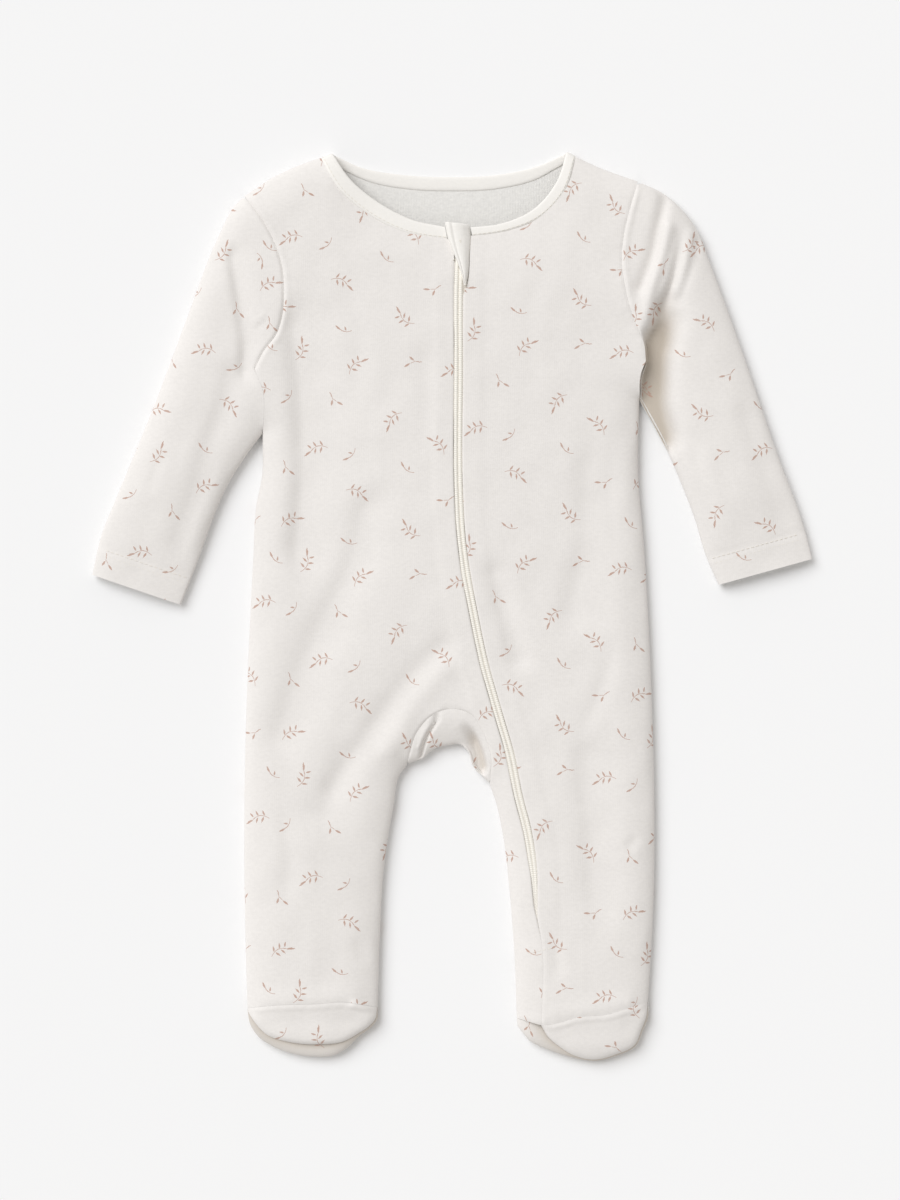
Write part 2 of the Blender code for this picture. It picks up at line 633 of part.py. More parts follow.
def front_right():
    """Right half of the chest, the right leg's front and the strip beside the zip."""
    slit, side, arm = SLIT["right"], SIDE["right"], ARM["right"]
    yoke_edge, slit_edge, body_edge, crotch_edge, shin_edge = cut_at(
        zip_edge(-1, FLARE_RIGHT, FLARE_RIGHT[-1][1]), slit[0][1], slit[-1][1], ARC_APEX[1], GUSSET_ARC[-1][1]
    )
    side_body, side_crotch, side_shin, _ = cut_at(
        side, ARC_APEX[1], GUSSET_ARC[0][1], ANKLE_RIGHT[0][1] + SEAM_GAP / 2
    )
    neck = beside(rounded(NECK_SEAM_RIGHT), -SEAM_GAP / 2)
    neck[-1] = yoke_edge[0]
    top, top_u, corner = yoke_top(shoulder(SHOULDER_RIGHT, arm, neck[0]), neck, NECK_COLUMNS["right"])

    leg_width = CROTCH_RIGHT[0][0] - side_body[-1][0]
    strip_width = body_edge[-1][0] - CROTCH_LEFT[0][0]
    full = leg_width + strip_width
    split = 1 - ZIP_STRIP / full
    strip_steps = np.array([*SEAM_STEPS[:4], 0.5 * strip_width, strip_width])
    strip_u = strip_steps / strip_width
    strip_end_u = np.array([*FOLD_STEPS[:4], 0.5 * strip_width, strip_width]) / strip_width
    wide_u = spaced(full * split, FOLD_STEPS, (0.0,), PANEL_COLUMNS["right"]) * split
    body_u = np.concatenate([wide_u[:-1], np.linspace(split, 1, PANEL_COLUMNS["zip strip"])])
    leg_u = spaced(leg_width, FOLD_STEPS, SEAM_STEPS[:4], PANEL_COLUMNS["leg"])
    apex_u = np.concatenate([leg_u[:-1] * leg_width, leg_width + strip_steps]) / full
    ankle_u = ANKLE_U["right"]
    strip = SEAM_STEPS[1] / full
    ankle = beside(rounded(ANKLE_RIGHT), SEAM_GAP / 2)
    strip_end = beside(rounded(STRIP_END), SEAM_GAP / 2)
    inner_right = cut_at(rounded(INNER_RIGHT), ankle[-1][1])[0]
    shin_inner = np.vstack([CROTCH_RIGHT[-1:], inner_right[1:]])
    strip_inner = np.vstack([CROTCH_LEFT[-1:], cut_at(rounded(INNER_LEFT), strip_end[0][1])[0][1:]])
    return cloth("front_right", [
        lay(block(arm, yoke_edge, top_u, body_u, yoke_rows(top_u, corner, np.inf), top=top,
                  strips=(strip, 0), turn=YOKE_TURN),
            upper, 1, "left top", [len(SHOULDER_SHARES)]),
        lay(block(slit, slit_edge, body_u, body_u, SLIT_V), upper, 1, "left"),
        lay(block(side_body, body_edge, body_u, apex_u, even(BODY_ROWS["right"])), upper, 1, "left"),
        lay(block(side_crotch, CROTCH_RIGHT, leg_u, ankle_u, ARC_V), upper, 1, "left right"),
        lay(block(side_shin, shin_inner, ankle_u, ankle_u, SHIN_V, bottom=ankle), upper, 1, "left right"),
        lay(block(CROTCH_LEFT, crotch_edge, strip_u, strip_end_u, ARC_V), upper, 1, "left"),
        lay(block(strip_inner, shin_edge, strip_end_u, strip_end_u, SHIN_V, bottom=strip_end),
            upper, 1, "left"),
    ])


def front_left():
    """Left half of the chest and the outer front of the left leg."""
    slit, side, arm = SLIT["left"], SIDE["left"], ARM["left"]
    yoke_edge, slit_edge, body_edge, shin_edge = cut_at(
        zip_edge(1, FLARE_LEFT, FLARE_LEFT[-1][1]), slit[0][1], slit[-1][1], GUSSET_ARC[-1][1]
    )
    side_body, side_shin, _ = cut_at(side, GUSSET_ARC[-1][1], ANKLE_LEFT[-1][1] + SEAM_GAP / 2)
    neck = beside(rounded(NECK_SEAM_LEFT[::-1]), SEAM_GAP / 2)
    neck[-1] = yoke_edge[0]
    top, top_u, corner = yoke_top(shoulder(SHOULDER_LEFT, arm, neck[0]), neck, NECK_COLUMNS["left"])
    body_u = ANKLE_U["left"]
    rows = yoke_rows(top_u, corner, np.inf)[:, ::-1]
    strip = SEAM_STEPS[1] / LEFT_FRONT_WIDTH
    ankle = beside(rounded(ANKLE_LEFT), SEAM_GAP / 2)
    return cloth("front_left", [
        lay(block(yoke_edge, arm, 1 - top_u[::-1], body_u, rows, top=top[::-1],
                  strips=(0, strip), turn=YOKE_TURN),
            upper, 1, "right top", [-1 - len(SHOULDER_SHARES)]),
        lay(block(slit_edge, slit, body_u, body_u, SLIT_V), upper, 1, "right"),
        lay(block(body_edge, side_body, body_u, body_u, even(BODY_ROWS["left"])), upper, 1, "right"),
        lay(block(shin_edge, side_shin, body_u, body_u, SHIN_V, bottom=ankle), upper, 1, "right"),
    ])


def back():
    """Back of the body and of both legs, in one piece, its outer face down."""
    neck = beside(rounded(NECK_SEAM_BACK), -SEAM_GAP / 2)
    right = shoulder(SHOULDER_RIGHT, ARM["right"], neck[0])
    left = shoulder(SHOULDER_LEFT, ARM["left"], neck[-1])
    top = np.vstack([right, neck[1:-1], left[::-1]])
    corners = run(right)[-1] / run(top)[-1], 1 - run(left)[-1] / run(top)[-1]
    shares = np.array(SHOULDER_SHARES)
    round_neck = neck_fractions(run(neck)[-1], 2, NECK_COLUMNS["back"])
    top_u = np.concatenate([
        shares * corners[0], corners[0] + (corners[1] - corners[0]) * round_neck,
        1 - shares[::-1] * (1 - corners[1]),
    ])
    body = {name: cut_at(SIDE[name], ARC_APEX[1], HEEL_Y + SEAM_GAP / 2) for name in SIDE}
    full = body["left"][0][-1][0] - body["right"][0][-1][0]
    apex = (CROTCH_RIGHT[0][0] - body["right"][0][-1][0]) / full
    body_u = spaced(full, FOLD_STEPS[:4], FOLD_STEPS[:4], PANEL_COLUMNS["back"])
    strip = SEAM_STEPS[1] / full
    leg_u = spaced(full * apex, FOLD_STEPS[:4], SEAM_STEPS[:4], PANEL_COLUMNS["leg"])
    shin_u = spaced(full * apex, FOLD_STEPS[:4], FOLD_STEPS[:4], PANEL_COLUMNS["leg"])
    legs_u = np.concatenate([leg_u[:-1] * apex, apex + (1 - leg_u[::-1]) * (1 - apex)])
    blocks = [
        lay(block(ARM["right"], ARM["left"], top_u, body_u, yoke_rows(top_u, *corners), top=top,
                  strips=(strip, strip), turn=YOKE_TURN),
            under, -1, "left right top", [len(SHOULDER_SHARES), -1 - len(SHOULDER_SHARES)]),
        lay(block(SLIT["right"], SLIT["left"], body_u, body_u, SLIT_V), under, -1, "left right"),
        lay(block(body["right"][0], body["left"][0], body_u, legs_u, even(BODY_ROWS["back"])),
            under, -1, "left right"),
    ]
    for name, inner, arc in (("right", INNER_RIGHT, CROTCH_RIGHT), ("left", INNER_LEFT, CROTCH_LEFT)):
        crotch, shin = cut_at(body[name][1], arc[-1][1])
        leg = np.vstack([arc[-1:], cut_at(rounded(inner), HEEL_Y + SEAM_GAP / 2)[0][1:]])
        for outside, inside, first, last, v in (
            (crotch, arc, leg_u, shin_u, ARC_V), (shin, leg, shin_u, shin_u, even(SHIN_ROWS["back"])),
        ):
            if name == "right":
                rows = block(outside, inside, first, last, v)
            else:
                rows = block(inside, outside, 1 - first[::-1], 1 - last[::-1], v)
            blocks.append(lay(rows, under, -1, "left right"))
    return cloth("back", [rows[:, ::-1] for rows in blocks])


def gusset():
    """Crotch piece, folded along its lower edge from front to back."""
    arc = beside(rounded(GUSSET_ARC), -SEAM_GAP)
    low = rounded(CROTCH)
    left, right = np.array([arc[0], low[0]]), np.array([arc[-1], low[-1]])
    v = np.array(ARC_V)
    u = np.concatenate([ARC_TOP * (1 - v[::-1]), ARC_TOP + (1 - ARC_TOP) * v[1:]])
    front = block(left, right, u, u, GUSSET_FRONT_V, top=arc, bottom=low)
    rear = block(left, right, u, u, GUSSET_REAR_V, top=arc, bottom=low)
    face = with_folds(GUSSET_FOLDS, arc, GUSSET_FADE)
    rows = np.concatenate([np.dstack([front, face(front)]), np.dstack([rear, under(rear)])])
    rows[len(front), :, 2] = FOLD_Z
    return cloth("gusset", [rows])


# ---------------------------------------------------------------- sleeves and feet

def sleeve(name, side, armhole, slit, inside, outside, across, face):
    """A sleeve in sections square to its length: open at the armhole, folded along slit and inside."""
    inner_edge = at(inside, (1 - HEM / run(inside)[-1]) * np.linspace(0, 1, SLEEVE_ROWS)[1:])
    body_side = np.vstack([
        at(armhole, ARM_V)[1:], at(slit, SLIT_V)[1:], inner_edge, inner_edge[-1:], inside[-1:],
    ])
    cuff = np.array([outside[-1], inside[-1]])
    way = side * np.array([cuff[0][1] - cuff[1][1], cuff[1][0] - cuff[0][0]])
    way /= np.linalg.norm(way)
    body_side[-2] += way * HEM_STEP
    outer = np.stack([np.interp(body_side @ way, outside @ way, outside[:, k]) for k in range(2)], axis=1)
    outer[-1] = outside[-1]

    def sections(u):
        u = np.array(u)[None, :, None]
        return body_side[:, None] * (1 - u) + outer[:, None] * u

    top, low = sections(across), sections(SLEEVE_UNDER_U)
    low[-1] += way * CUFF_UNDER
    height = face(top)
    height[-2:] += HEM_PROUD
    depth = under(low)
    closed = slice(len(ARM_V) - 2, None)
    height[closed, 0] = FOLD_Z
    depth[closed, 0] = FOLD_Z
    low[closed, 0] = top[closed, 0]
    height[:, -1] = FOLD_Z
    rows = np.concatenate([np.dstack([top, height]), np.dstack([low, depth])[:, ::-1]], axis=1)
    return cloth(name, [rows if side > 0 else rows[:, ::-1]])


def sleeves():
    """Both sleeves; the left one has the folds of its gathered cap."""
    gap = SLEEVE_GAP
    for name, side, arm, slit, inside, outside, across in (
        ("sleeve_right", -1, ARMHOLE_RIGHT, SLIT_RIGHT, SLEEVE_IN_RIGHT, SLEEVE_OUT_RIGHT, SLEEVE_U),
        ("sleeve_left", 1, ARMHOLE_LEFT, SLIT_LEFT, SLEEVE_IN_LEFT, SLEEVE_OUT_LEFT, CAP_U),
    ):
        arm = beside(joined(arm), side * gap)
        slit = beside(joined(slit), side * gap)
        slit[0] = arm[-1]
        inside = rounded(inside)
        inside[0] = slit[-1]
        face = with_folds(SLEEVE_FOLDS, arm, CAP_FADE) if side > 0 else upper
        sleeve(name, side, arm, slit, inside, rounded(outside), across, face)


def rim(xy):
    """Height of the sole's rim, which rises inwards from the outline."""
    return FOLD_Z + RIM_RISE * quarter(np.maximum(outline_distance(xy), LEAST_REACH) / RIM_REACH)


def foot(side, ankle, toe, outline, outer, inner, rim_start):
    """Instep and sole of one foot, met at a toe seam that rolls over the sole's rim."""
    toe_line = rounded(toe)
    ankle_line = rounded(ankle)
    top = beside(ankle_line, -SEAM_GAP * ANKLE_SHARE)
    low = beside(toe_line, SEAM_GAP)

    def instep(xy):
        flat = xy.reshape(-1, 2)
        near = distance(flat, toe_line).reshape(xy.shape[:-1])
        off_ankle = distance(flat, ankle_line).reshape(xy.shape[:-1])
        proud = upper(xy) + TOE_PROUD * np.exp(-near / TOE_FADE) * ease(off_ankle / TOE_FADE)
        base = rim(xy)
        roll = np.minimum(TOE_ROLL, near + off_ankle)
        return base + (np.maximum(proud, base) - base) * quarter(near / roll)

    ends = np.array([top[0], low[0]]), np.array([top[-1], low[-1]])
    u = ANKLE_U[side]
    cloth("foot_upper_" + side, [
        lay(block(*ends, u, u, INSTEP_V, top=top, bottom=low), instep, 1, "left right"),
    ])

    heel = np.array([outer[0], inner[0]])
    edge = rounded(outline)
    crest = beside(toe_line, -SEAM_GAP / 2)
    if rim_start:
        start = beside(rounded(rim_start), -SEAM_GAP / 2)
        share = run(start)[-1] / (run(start)[-1] + run(crest)[-1])
        crest = np.vstack([start, crest[1:]])
        u = np.concatenate([[0.0, 0.0, START_SHARE * share], share + (1 - share) * u[1:]])
    sole_v = 1 - spaced(SOLE_LENGTH, FOLD_STEPS[1:4], (0.0,), SOLE_STEPS)[::-1]
    floor = lay(block(outer, inner, u, u, sole_v, top=heel, bottom=edge), under, -1, "left right")
    floor[-1, 1:-1, 2] = FOLD_Z
    sides = np.array([edge[0], crest[0]]), np.array([edge[-1], crest[-1]])
    lip = block(*sides, u, u, LIP_V, top=edge, bottom=crest)
    lip = np.dstack([lip, rim(lip)])
    lip[0] = floor[-1]
    rows = np.concatenate([floor, lip[1:]])
    return cloth("sole_" + side, [rows[:, ::-1]])


def feet():
    """Both feet, heel to toe."""
    for side, ankle, toe, outline, inner, rim_start in (
        ("right", ANKLE_RIGHT, TOE_RIGHT, FOOT_RIGHT, INNER_RIGHT, ()),
        ("left", ANKLE_LEFT, TOE_LEFT, FOOT_LEFT, INNER_LEFT, STRIP_END),
    ):
        outer = cut_at(rounded(SIDE_RIGHT if side == "right" else SIDE_LEFT), HEEL_Y - SEAM_GAP / 2)[1]
        inner = cut_at(rounded(inner), HEEL_Y - SEAM_GAP / 2)[1]
        edges = (outer, inner) if side == "right" else (inner, outer)
        foot(side, ankle, toe, outline, *edges, rim_start)


# ---------------------------------------------------------------- neck and zip

def neck_binding():
    """A folded band round the neck, from the zip over each shoulder fold and across the back."""
    def on_front(xy):
        return np.column_stack([xy, upper(xy)])

    def panel_rows(line, corners, count):
        seam = rounded(line[0])
        t = neck_fractions(run(seam)[-1], corners, count)
        return at(seam, t), at(rounded(line[1]), t)

    right = panel_rows((NECK_SEAM_RIGHT, NECK_FREE_RIGHT), 1, NECK_COLUMNS["right"])
    left = panel_rows((NECK_SEAM_LEFT[::-1], NECK_FREE_LEFT[::-1]), 1, NECK_COLUMNS["left"])
    rear = panel_rows((NECK_SEAM_BACK, NECK_BACK), 2, NECK_COLUMNS["back"])
    rear_z = under(rear[0])
    rear_z[[0, -1]] = FOLD_Z
    seam, free = [
        np.vstack([on_front(right[k][:0:-1]), np.column_stack([rear[k], rear_z]), on_front(left[k][1:])])
        for k in (0, 1)
    ]
    across = free - seam
    across /= np.linalg.norm(across, axis=1)[:, None]
    way = np.gradient((seam + free) / 2, axis=0)
    out = np.cross(across, way)
    out /= np.linalg.norm(out, axis=1)[:, None]
    inset = BINDING_HALF - BINDING_PROUD
    tips = np.array([NECK_SEAM_BACK[0], NECK_SEAM_BACK[-1]])
    off_tip = np.linalg.norm(seam[:, None, :2] - tips, axis=2).min(axis=1)
    clear = SEAM_GAP + TIP_CLEAR * (1 - ease(off_tip / TIP_REACH))
    seam, free = seam - out * inset + across * clear[:, None], free - out * inset
    for line in (seam, free):
        line[:, 2] = np.maximum(line[:, 2], BINDING_LIFT)
    sections = [
        seam + (free - seam) * share + out * BINDING_HALF * side for share, side in BINDING_PROFILE
    ]
    return bar("neck_binding", np.stack(sections, axis=1), PLAIN)


def zip_tapes():
    """The two coil edges, each with its tape running on under the front panel beside it."""
    line = rounded(ZIP_LINE)
    start, end = level(line, ZIP_TOP), level(line, ZIP_FOOT)
    middle = at(line, np.linspace(start, end, TAPE_SECTIONS))
    half = np.interp(middle[:, 1], [row[0] for row in ZIP_HALF], [row[1] for row in ZIP_HALF]) - COIL_GAP
    sunk = -(WALL + TAPE_ROOM)
    for name, side in (("zip_tape_right", -1), ("zip_tape_left", 1)):
        corners = []
        for out, drop in (
            (SEAM_GAP / 2 + 0 * half, -TAPE_DEPTH), (SEAM_GAP / 2 + 0 * half, -2 * COIL_DROP),
            (COIL_FLAT[0] * half, -COIL_DROP), (COIL_FLAT[1] * half, -COIL_DROP),
            (half, -4 * COIL_DROP), (half, sunk),
            (TAPE_REACH + 0 * half, sunk), (TAPE_REACH + 0 * half, -TAPE_DEPTH),
        ):
            xy = beside(middle, side * out)
            corners.append(np.column_stack([xy, upper(xy) + drop]))
        bar(name, np.stack(corners, axis=1), TAPE)


def zip_guard():
    """A small folded flap over the slider, its left edge rolled and its right edge tucked down."""
    u, lift, tip = np.array(GUARD_SECTION).T
    xy = block(rounded(GUARD_LEFT_EDGE), rounded(GUARD_RIGHT_EDGE), u, u, even(GUARD_ROWS))
    fall = (1 - even(GUARD_ROWS))[:, None] ** GUARD_FALL
    rows = np.dstack([xy, upper(xy) + lift * fall + tip * (1 - fall)])
    return cloth("zip_guard", [rows], PLAIN, GUARD_WALL)


def box(name, centre, size, look, collection=COLLECTION):
    """A block with its centre and size in millimetres."""
    shape = bmesh.new()
    bmesh.ops.create_cube(shape, size=1.0)
    bmesh.ops.scale(shape, vec=size, verts=shape.verts)
    bmesh.ops.translate(shape, vec=centre, verts=shape.verts)
    made = add_object(name, shape, look)
    if collection != COLLECTION:
        bpy.data.collections[COLLECTION].objects.unlink(made)
        bpy.data.collections[collection].objects.link(made)
        made.hide_render = True
        made.display_type = "WIRE"
    return made


def combine(target, operation, other):
    """A Boolean on a hidden guide object."""
    step = target.modifiers.new(operation.lower(), "BOOLEAN")
    step.operation = operation
    step.object = other


def zip_slider():
    """A slider whose plates pass above and below the coils, and its pull, tucked under the guard."""
    s = SLIDER
    y, length = (s["low"] + s["high"]) / 2, s["high"] - s["low"]
    at_low, at_high = upper(np.array([(s["x"], s["low"]), (s["x"], s["high"])], float))
    above = max(at_low, at_high) + s["room"] + s["plate"]
    below = min(at_low, at_high) - TAPE_DEPTH - s["room"] - s["plate"]
    slider = box("zip_slider", (s["x"], y, (above + below) / 2), (s["width"], length, above - below), PLASTIC)
    mouth_top, mouth_low = above - s["plate"], below + s["plate"]
    mouth = box("slider_mouth", (s["x"], y - s["web"], (mouth_top + mouth_low) / 2),
                (s["width"] + CUTTER_PAST, length, mouth_top - mouth_low), PLASTIC, GUIDES)
    pivot = y + LUG["ahead"]
    lug_z = above - LUG["sunk"] + (LUG["height"] + LUG["sunk"]) / 2
    lug = box("slider_lug", (s["x"], pivot, lug_z),
              (LUG["width"], LUG["length"], LUG["height"] + LUG["sunk"]), PLASTIC, GUIDES)
    combine(slider, "DIFFERENCE", mouth)
    combine(slider, "UNION", lug)
    play = PULL["play"]
    slot = (LUG["width"] + 2 * play, LUG["length"] + 2 * play, PULL["thick"] + CUTTER_PAST)
    drop = PULL["length"] / 2 - slot[1] / 2 - PULL["end"]
    pull = box("zip_pull", (0, -drop, 0), (PULL["width"], PULL["length"], PULL["thick"]), PLASTIC)
    hole = box("pull_slot", (0, 0, 0), slot, PLASTIC, GUIDES)
    hole.parent = pull
    pull.location = np.array((s["x"], pivot, above + PULL["lift"] + PULL["thick"] / 2)) * MM
    combine(pull, "DIFFERENCE", hole)


def main():
    """Builds the garment in an empty scene."""
    for old in list(bpy.data.objects):
        bpy.data.objects.remove(old)
    for name in (COLLECTION, GUIDES):
        bpy.context.scene.collection.children.link(bpy.data.collections.new(name))
    front_right()
    front_left()
    back()
    gusset()
    sleeves()
    feet()
    neck_binding()
    zip_tapes()
    zip_guard()
    zip_slider()


main()
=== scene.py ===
"""Footed baby sleepsuit laid out flat: its cloth, print, zip and sewing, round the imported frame.

The cloth is made as surfaces over two height fields, one for the upper face and one for the
face that rests, both worked out from the distance to the garment's outline. Creases, seams and
puckers are added to the upper field by tables. Sizes are in millimetres until a mesh is made.
"""

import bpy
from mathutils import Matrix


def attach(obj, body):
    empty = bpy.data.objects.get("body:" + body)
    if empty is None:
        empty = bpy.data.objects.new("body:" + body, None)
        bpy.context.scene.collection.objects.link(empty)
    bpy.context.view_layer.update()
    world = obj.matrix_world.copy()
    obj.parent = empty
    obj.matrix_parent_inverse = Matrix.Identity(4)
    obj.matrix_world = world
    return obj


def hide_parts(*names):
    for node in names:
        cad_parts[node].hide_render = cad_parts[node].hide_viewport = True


bl_info = {
    "name": "Footed Sleepsuit",
    "version": (1, 0, 0),
    "blender": (4, 5, 0),
    "location": "View3D > Sidebar > Sleepsuit",
    "description": "Dresses the frame of a laid-out footed sleepsuit in cloth, print, zip and sewing",
    "category": "Add Mesh",
}

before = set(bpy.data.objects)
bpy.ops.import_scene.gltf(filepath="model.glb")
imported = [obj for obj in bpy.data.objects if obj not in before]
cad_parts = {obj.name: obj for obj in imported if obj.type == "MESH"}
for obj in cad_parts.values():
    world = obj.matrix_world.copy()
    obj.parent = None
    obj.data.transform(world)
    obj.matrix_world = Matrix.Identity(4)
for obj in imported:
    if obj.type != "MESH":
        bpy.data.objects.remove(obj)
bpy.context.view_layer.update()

import math

import bmesh
import bpy
import numpy as np
from mathutils import Vector

MM = 0.001
BODY = "root"

# ---------------------------------------------------------------- the garment's own sizes, mm

FOLD_Z = 5.0
ROLL_RISE = 7.5
ROLL_REACH = 22.0
BODY_RISE = 2.0
BODY_REACH = 95.0
UNDER_REACH = 5.0
FOLD_FADE = 12.0
ON_FOLD = 0.35
PARTED = 0.05
SEAM_GAP = 0.04
NEAR_CHUNK = 2500
LEAST_HEIGHT = 3.4
TINY = 1e-6

# Outline, (x, y). "right" is the wearer's right, at -X.
SHOULDER_RIGHT = ((-72.0, 271.0), (-91.0, 264.5), (-108.5, 256.5), (-125.0, 245.5))
SHOULDER_LEFT = ((68.0, 272.0), (88.0, 262.5), (110.5, 254.5))
SLEEVE_OUT_RIGHT = (
    (-125.0, 245.5), (-131.0, 239.5), (-140.0, 222.5), (-159.5, 172.0), (-178.0, 122.5),
    (-200.5, 67.5), (-210.5, 42.5), (-216.0, 19.0),
)
SLEEVE_OUT_LEFT = (
    (110.5, 254.5), (126.0, 247.0), (138.0, 236.5), (146.5, 224.5), (153.0, 208.0),
    (171.5, 157.5), (194.0, 92.0), (211.0, 44.5), (215.0, 28.5),
)
SLEEVE_IN_RIGHT = (
    (-114.0, 103.5), (-123.0, 91.5), (-136.0, 70.5), (-144.5, 50.5), (-151.0, 32.0), (-163.0, 1.0),
)
SLEEVE_IN_LEFT = (
    (111.5, 124.0), (119.5, 110.0), (128.0, 93.5), (136.0, 75.0), (144.5, 53.0), (151.0, 31.5),
    (159.0, 13.0),
)
SIDE_RIGHT = (
    (-114.0, 103.5), (-114.5, 76.5), (-117.5, 62.0), (-119.5, 30.5), (-122.0, -20.0),
    (-124.5, -90.0), (-125.0, -140.0), (-124.0, -209.0), (-122.9, -242.2),
)
SIDE_LEFT = (
    (111.5, 124.0), (111.0, 76.5), (114.0, 40.0), (119.0, -56.5), (120.5, -115.0),
    (120.0, -176.5), (118.5, -209.0), (116.5, -239.2),
)
INNER_RIGHT = (
    (-27.0, -94.0), (-32.0, -101.0), (-35.5, -118.5), (-41.5, -157.5), (-43.5, -190.0),
    (-44.2, -209.0), (-45.2, -241.4),
)
INNER_LEFT = (
    (21.5, -105.5), (25.0, -115.0), (30.0, -137.5), (33.5, -167.0), (36.8, -209.0), (38.2, -246.5),
)
FOOT_RIGHT = (
    (-122.9, -242.2), (-121.5, -250.0), (-117.0, -257.0), (-108.5, -263.0), (-96.0, -267.7),
    (-83.5, -269.5), (-70.0, -268.2), (-62.5, -263.5), (-56.0, -257.0), (-49.0, -252.0),
    (-45.2, -247.0), (-45.2, -241.4),
)
FOOT_LEFT = (
    (38.2, -246.5), (39.5, -254.0), (44.5, -259.0), (57.5, -265.5), (74.0, -270.5),
    (84.5, -272.0), (97.5, -269.0), (110.0, -262.5), (113.5, -254.0), (117.0, -245.0), (116.5, -239.2),
)
CROTCH = (
    (-27.0, -94.0), (-17.5, -90.5), (-12.5, -86.0), (-2.5, -83.0), (4.0, -82.5), (8.0, -85.5),
    (12.0, -95.0), (21.5, -105.5),
)
NECK_BACK = (
    (-72.0, 271.0), (-56.0, 263.5), (-32.0, 259.0), (-2.0, 257.5), (28.0, 259.0), (52.0, 264.5),
    (68.0, 272.0),
)

# Seams, (x, y)
ARMHOLE_RIGHT = (
    (-125.0, 245.5), (-114.5, 232.0), (-107.0, 218.0), (-102.0, 202.5), (-101.0, 189.5),
    (-102.0, 173.5), (-105.5, 162.5), (-113.0, 152.5), (-118.5, 142.0),
)
ARMHOLE_LEFT = (
    (110.5, 254.5), (105.5, 237.5), (102.0, 222.5), (100.5, 206.5), (102.5, 191.0),
    (105.5, 178.0), (110.0, 166.0), (114.0, 156.5), (115.0, 146.5),
)
SLIT_RIGHT = ((-118.5, 142.0), (-113.2, 127.5), (-113.0, 112.0), (-114.0, 103.5))
SLIT_LEFT = ((115.0, 146.5), (112.0, 138.5), (111.5, 124.0))
NECK_SEAM_RIGHT = ((-78.5, 268.3), (-68.0, 250.0), (-48.5, 233.5), (-26.0, 223.0), (-3.5, 219.5))
NECK_SEAM_LEFT = ((11.5, 221.5), (31.0, 224.5), (52.0, 233.0), (65.5, 247.0), (73.0, 269.2))
NECK_FREE_RIGHT = ((-72.0, 271.0), (-62.0, 256.0), (-44.0, 241.0), (-23.0, 230.5), (-5.0, 226.8))
NECK_FREE_LEFT = ((10.5, 226.5), (28.0, 228.5), (49.0, 238.0), (62.0, 254.0), (68.0, 272.0))
NECK_SEAM_BACK = (
    (-78.5, 268.3), (-65.0, 261.5), (-50.0, 255.0), (-26.0, 250.5), (-2.0, 249.5),
    (28.0, 251.0), (50.0, 256.5), (62.0, 263.0), (73.0, 269.2),
)
GUSSET_ARC = (
    (-27.3, -92.5), (-21.0, -74.0), (-12.5, -65.0), (-1.0, -61.0), (10.0, -64.0), (18.0, -75.5),
    (22.5, -89.0), (22.2, -103.5),
)
ANKLE_RIGHT = ((-123.0, -240.0), (-108.0, -238.0), (-81.5, -237.0), (-65.5, -236.0), (-45.2, -239.5))
ANKLE_LEFT = (
    (52.8, -250.0), (60.5, -249.0), (74.0, -245.0), (93.5, -243.0), (103.0, -240.0), (116.5, -236.5),
)
STRIP_END = ((38.2, -246.0), (52.8, -250.0))
TOE_RIGHT = (
    (-122.7, -242.3), (-119.0, -248.0), (-112.0, -255.5), (-97.0, -260.5), (-80.0, -261.7),
    (-65.5, -260.0), (-56.5, -255.2), (-50.0, -250.8), (-46.4, -246.5), (-45.5, -241.6),
)
TOE_LEFT = (
    (52.8, -250.6), (56.5, -257.0), (63.5, -263.0), (72.0, -268.3), (84.5, -271.0),
    (97.0, -268.0), (109.0, -261.8), (112.5, -253.5), (115.8, -244.5), (116.4, -239.3),
)
HEEL_Y = -209.0

# Zip: its centre line, its half width at heights y, and how the fronts part above it
ZIP_LINE = (
    (4.5, 221.0), (3.9, 210.0), (3.3, 186.0), (3.3, 145.0), (3.5, 64.0), (4.6, 45.0), (7.2, 23.0),
    (11.8, -2.0), (18.3, -33.0), (27.3, -65.0), (34.2, -89.0), (39.0, -113.0), (44.5, -134.5),
    (48.0, -157.0), (50.3, -187.0), (52.3, -197.0), (52.8, -250.0),
)
ZIP_HALF = ((-187.0, 0.02), (-178.0, 1.1), (-150.0, 2.4), (-130.0, 2.6), (200.0, 2.6))
ZIP_TOP = 217.5
ZIP_FOOT = -187.0
ZIP_POINTS = 240
FLARE_RIGHT = ((-2.2, 219.3), (0.3, 212.0), (0.7, 206.0))
FLARE_LEFT = ((10.8, 221.4), (10.1, 210.0), (9.8, 202.0), (8.8, 193.0), (6.2, 186.0))
TAPE_WALL = 0.5
COIL_PITCH = 1.25
COIL_OFFSET = 1.3
COIL_WIDTH = 2.5
COIL_THICK = 1.5
COIL_SHOWS = 0.25
COIL_SINKS = 1.3
COIL_OVERLAP = 1.7
GUARD_LEFT_EDGE = ((-4.8, 228.8), (-3.4, 221.0), (-0.9, 213.6), (1.6, 207.6), (4.6, 199.6), (7.0, 191.4))
GUARD_RIGHT_EDGE = ((9.8, 227.4), (10.6, 220.5), (9.9, 209.5), (9.4, 199.5), (7.8, 191.0))
GUARD_FALL = 0.5

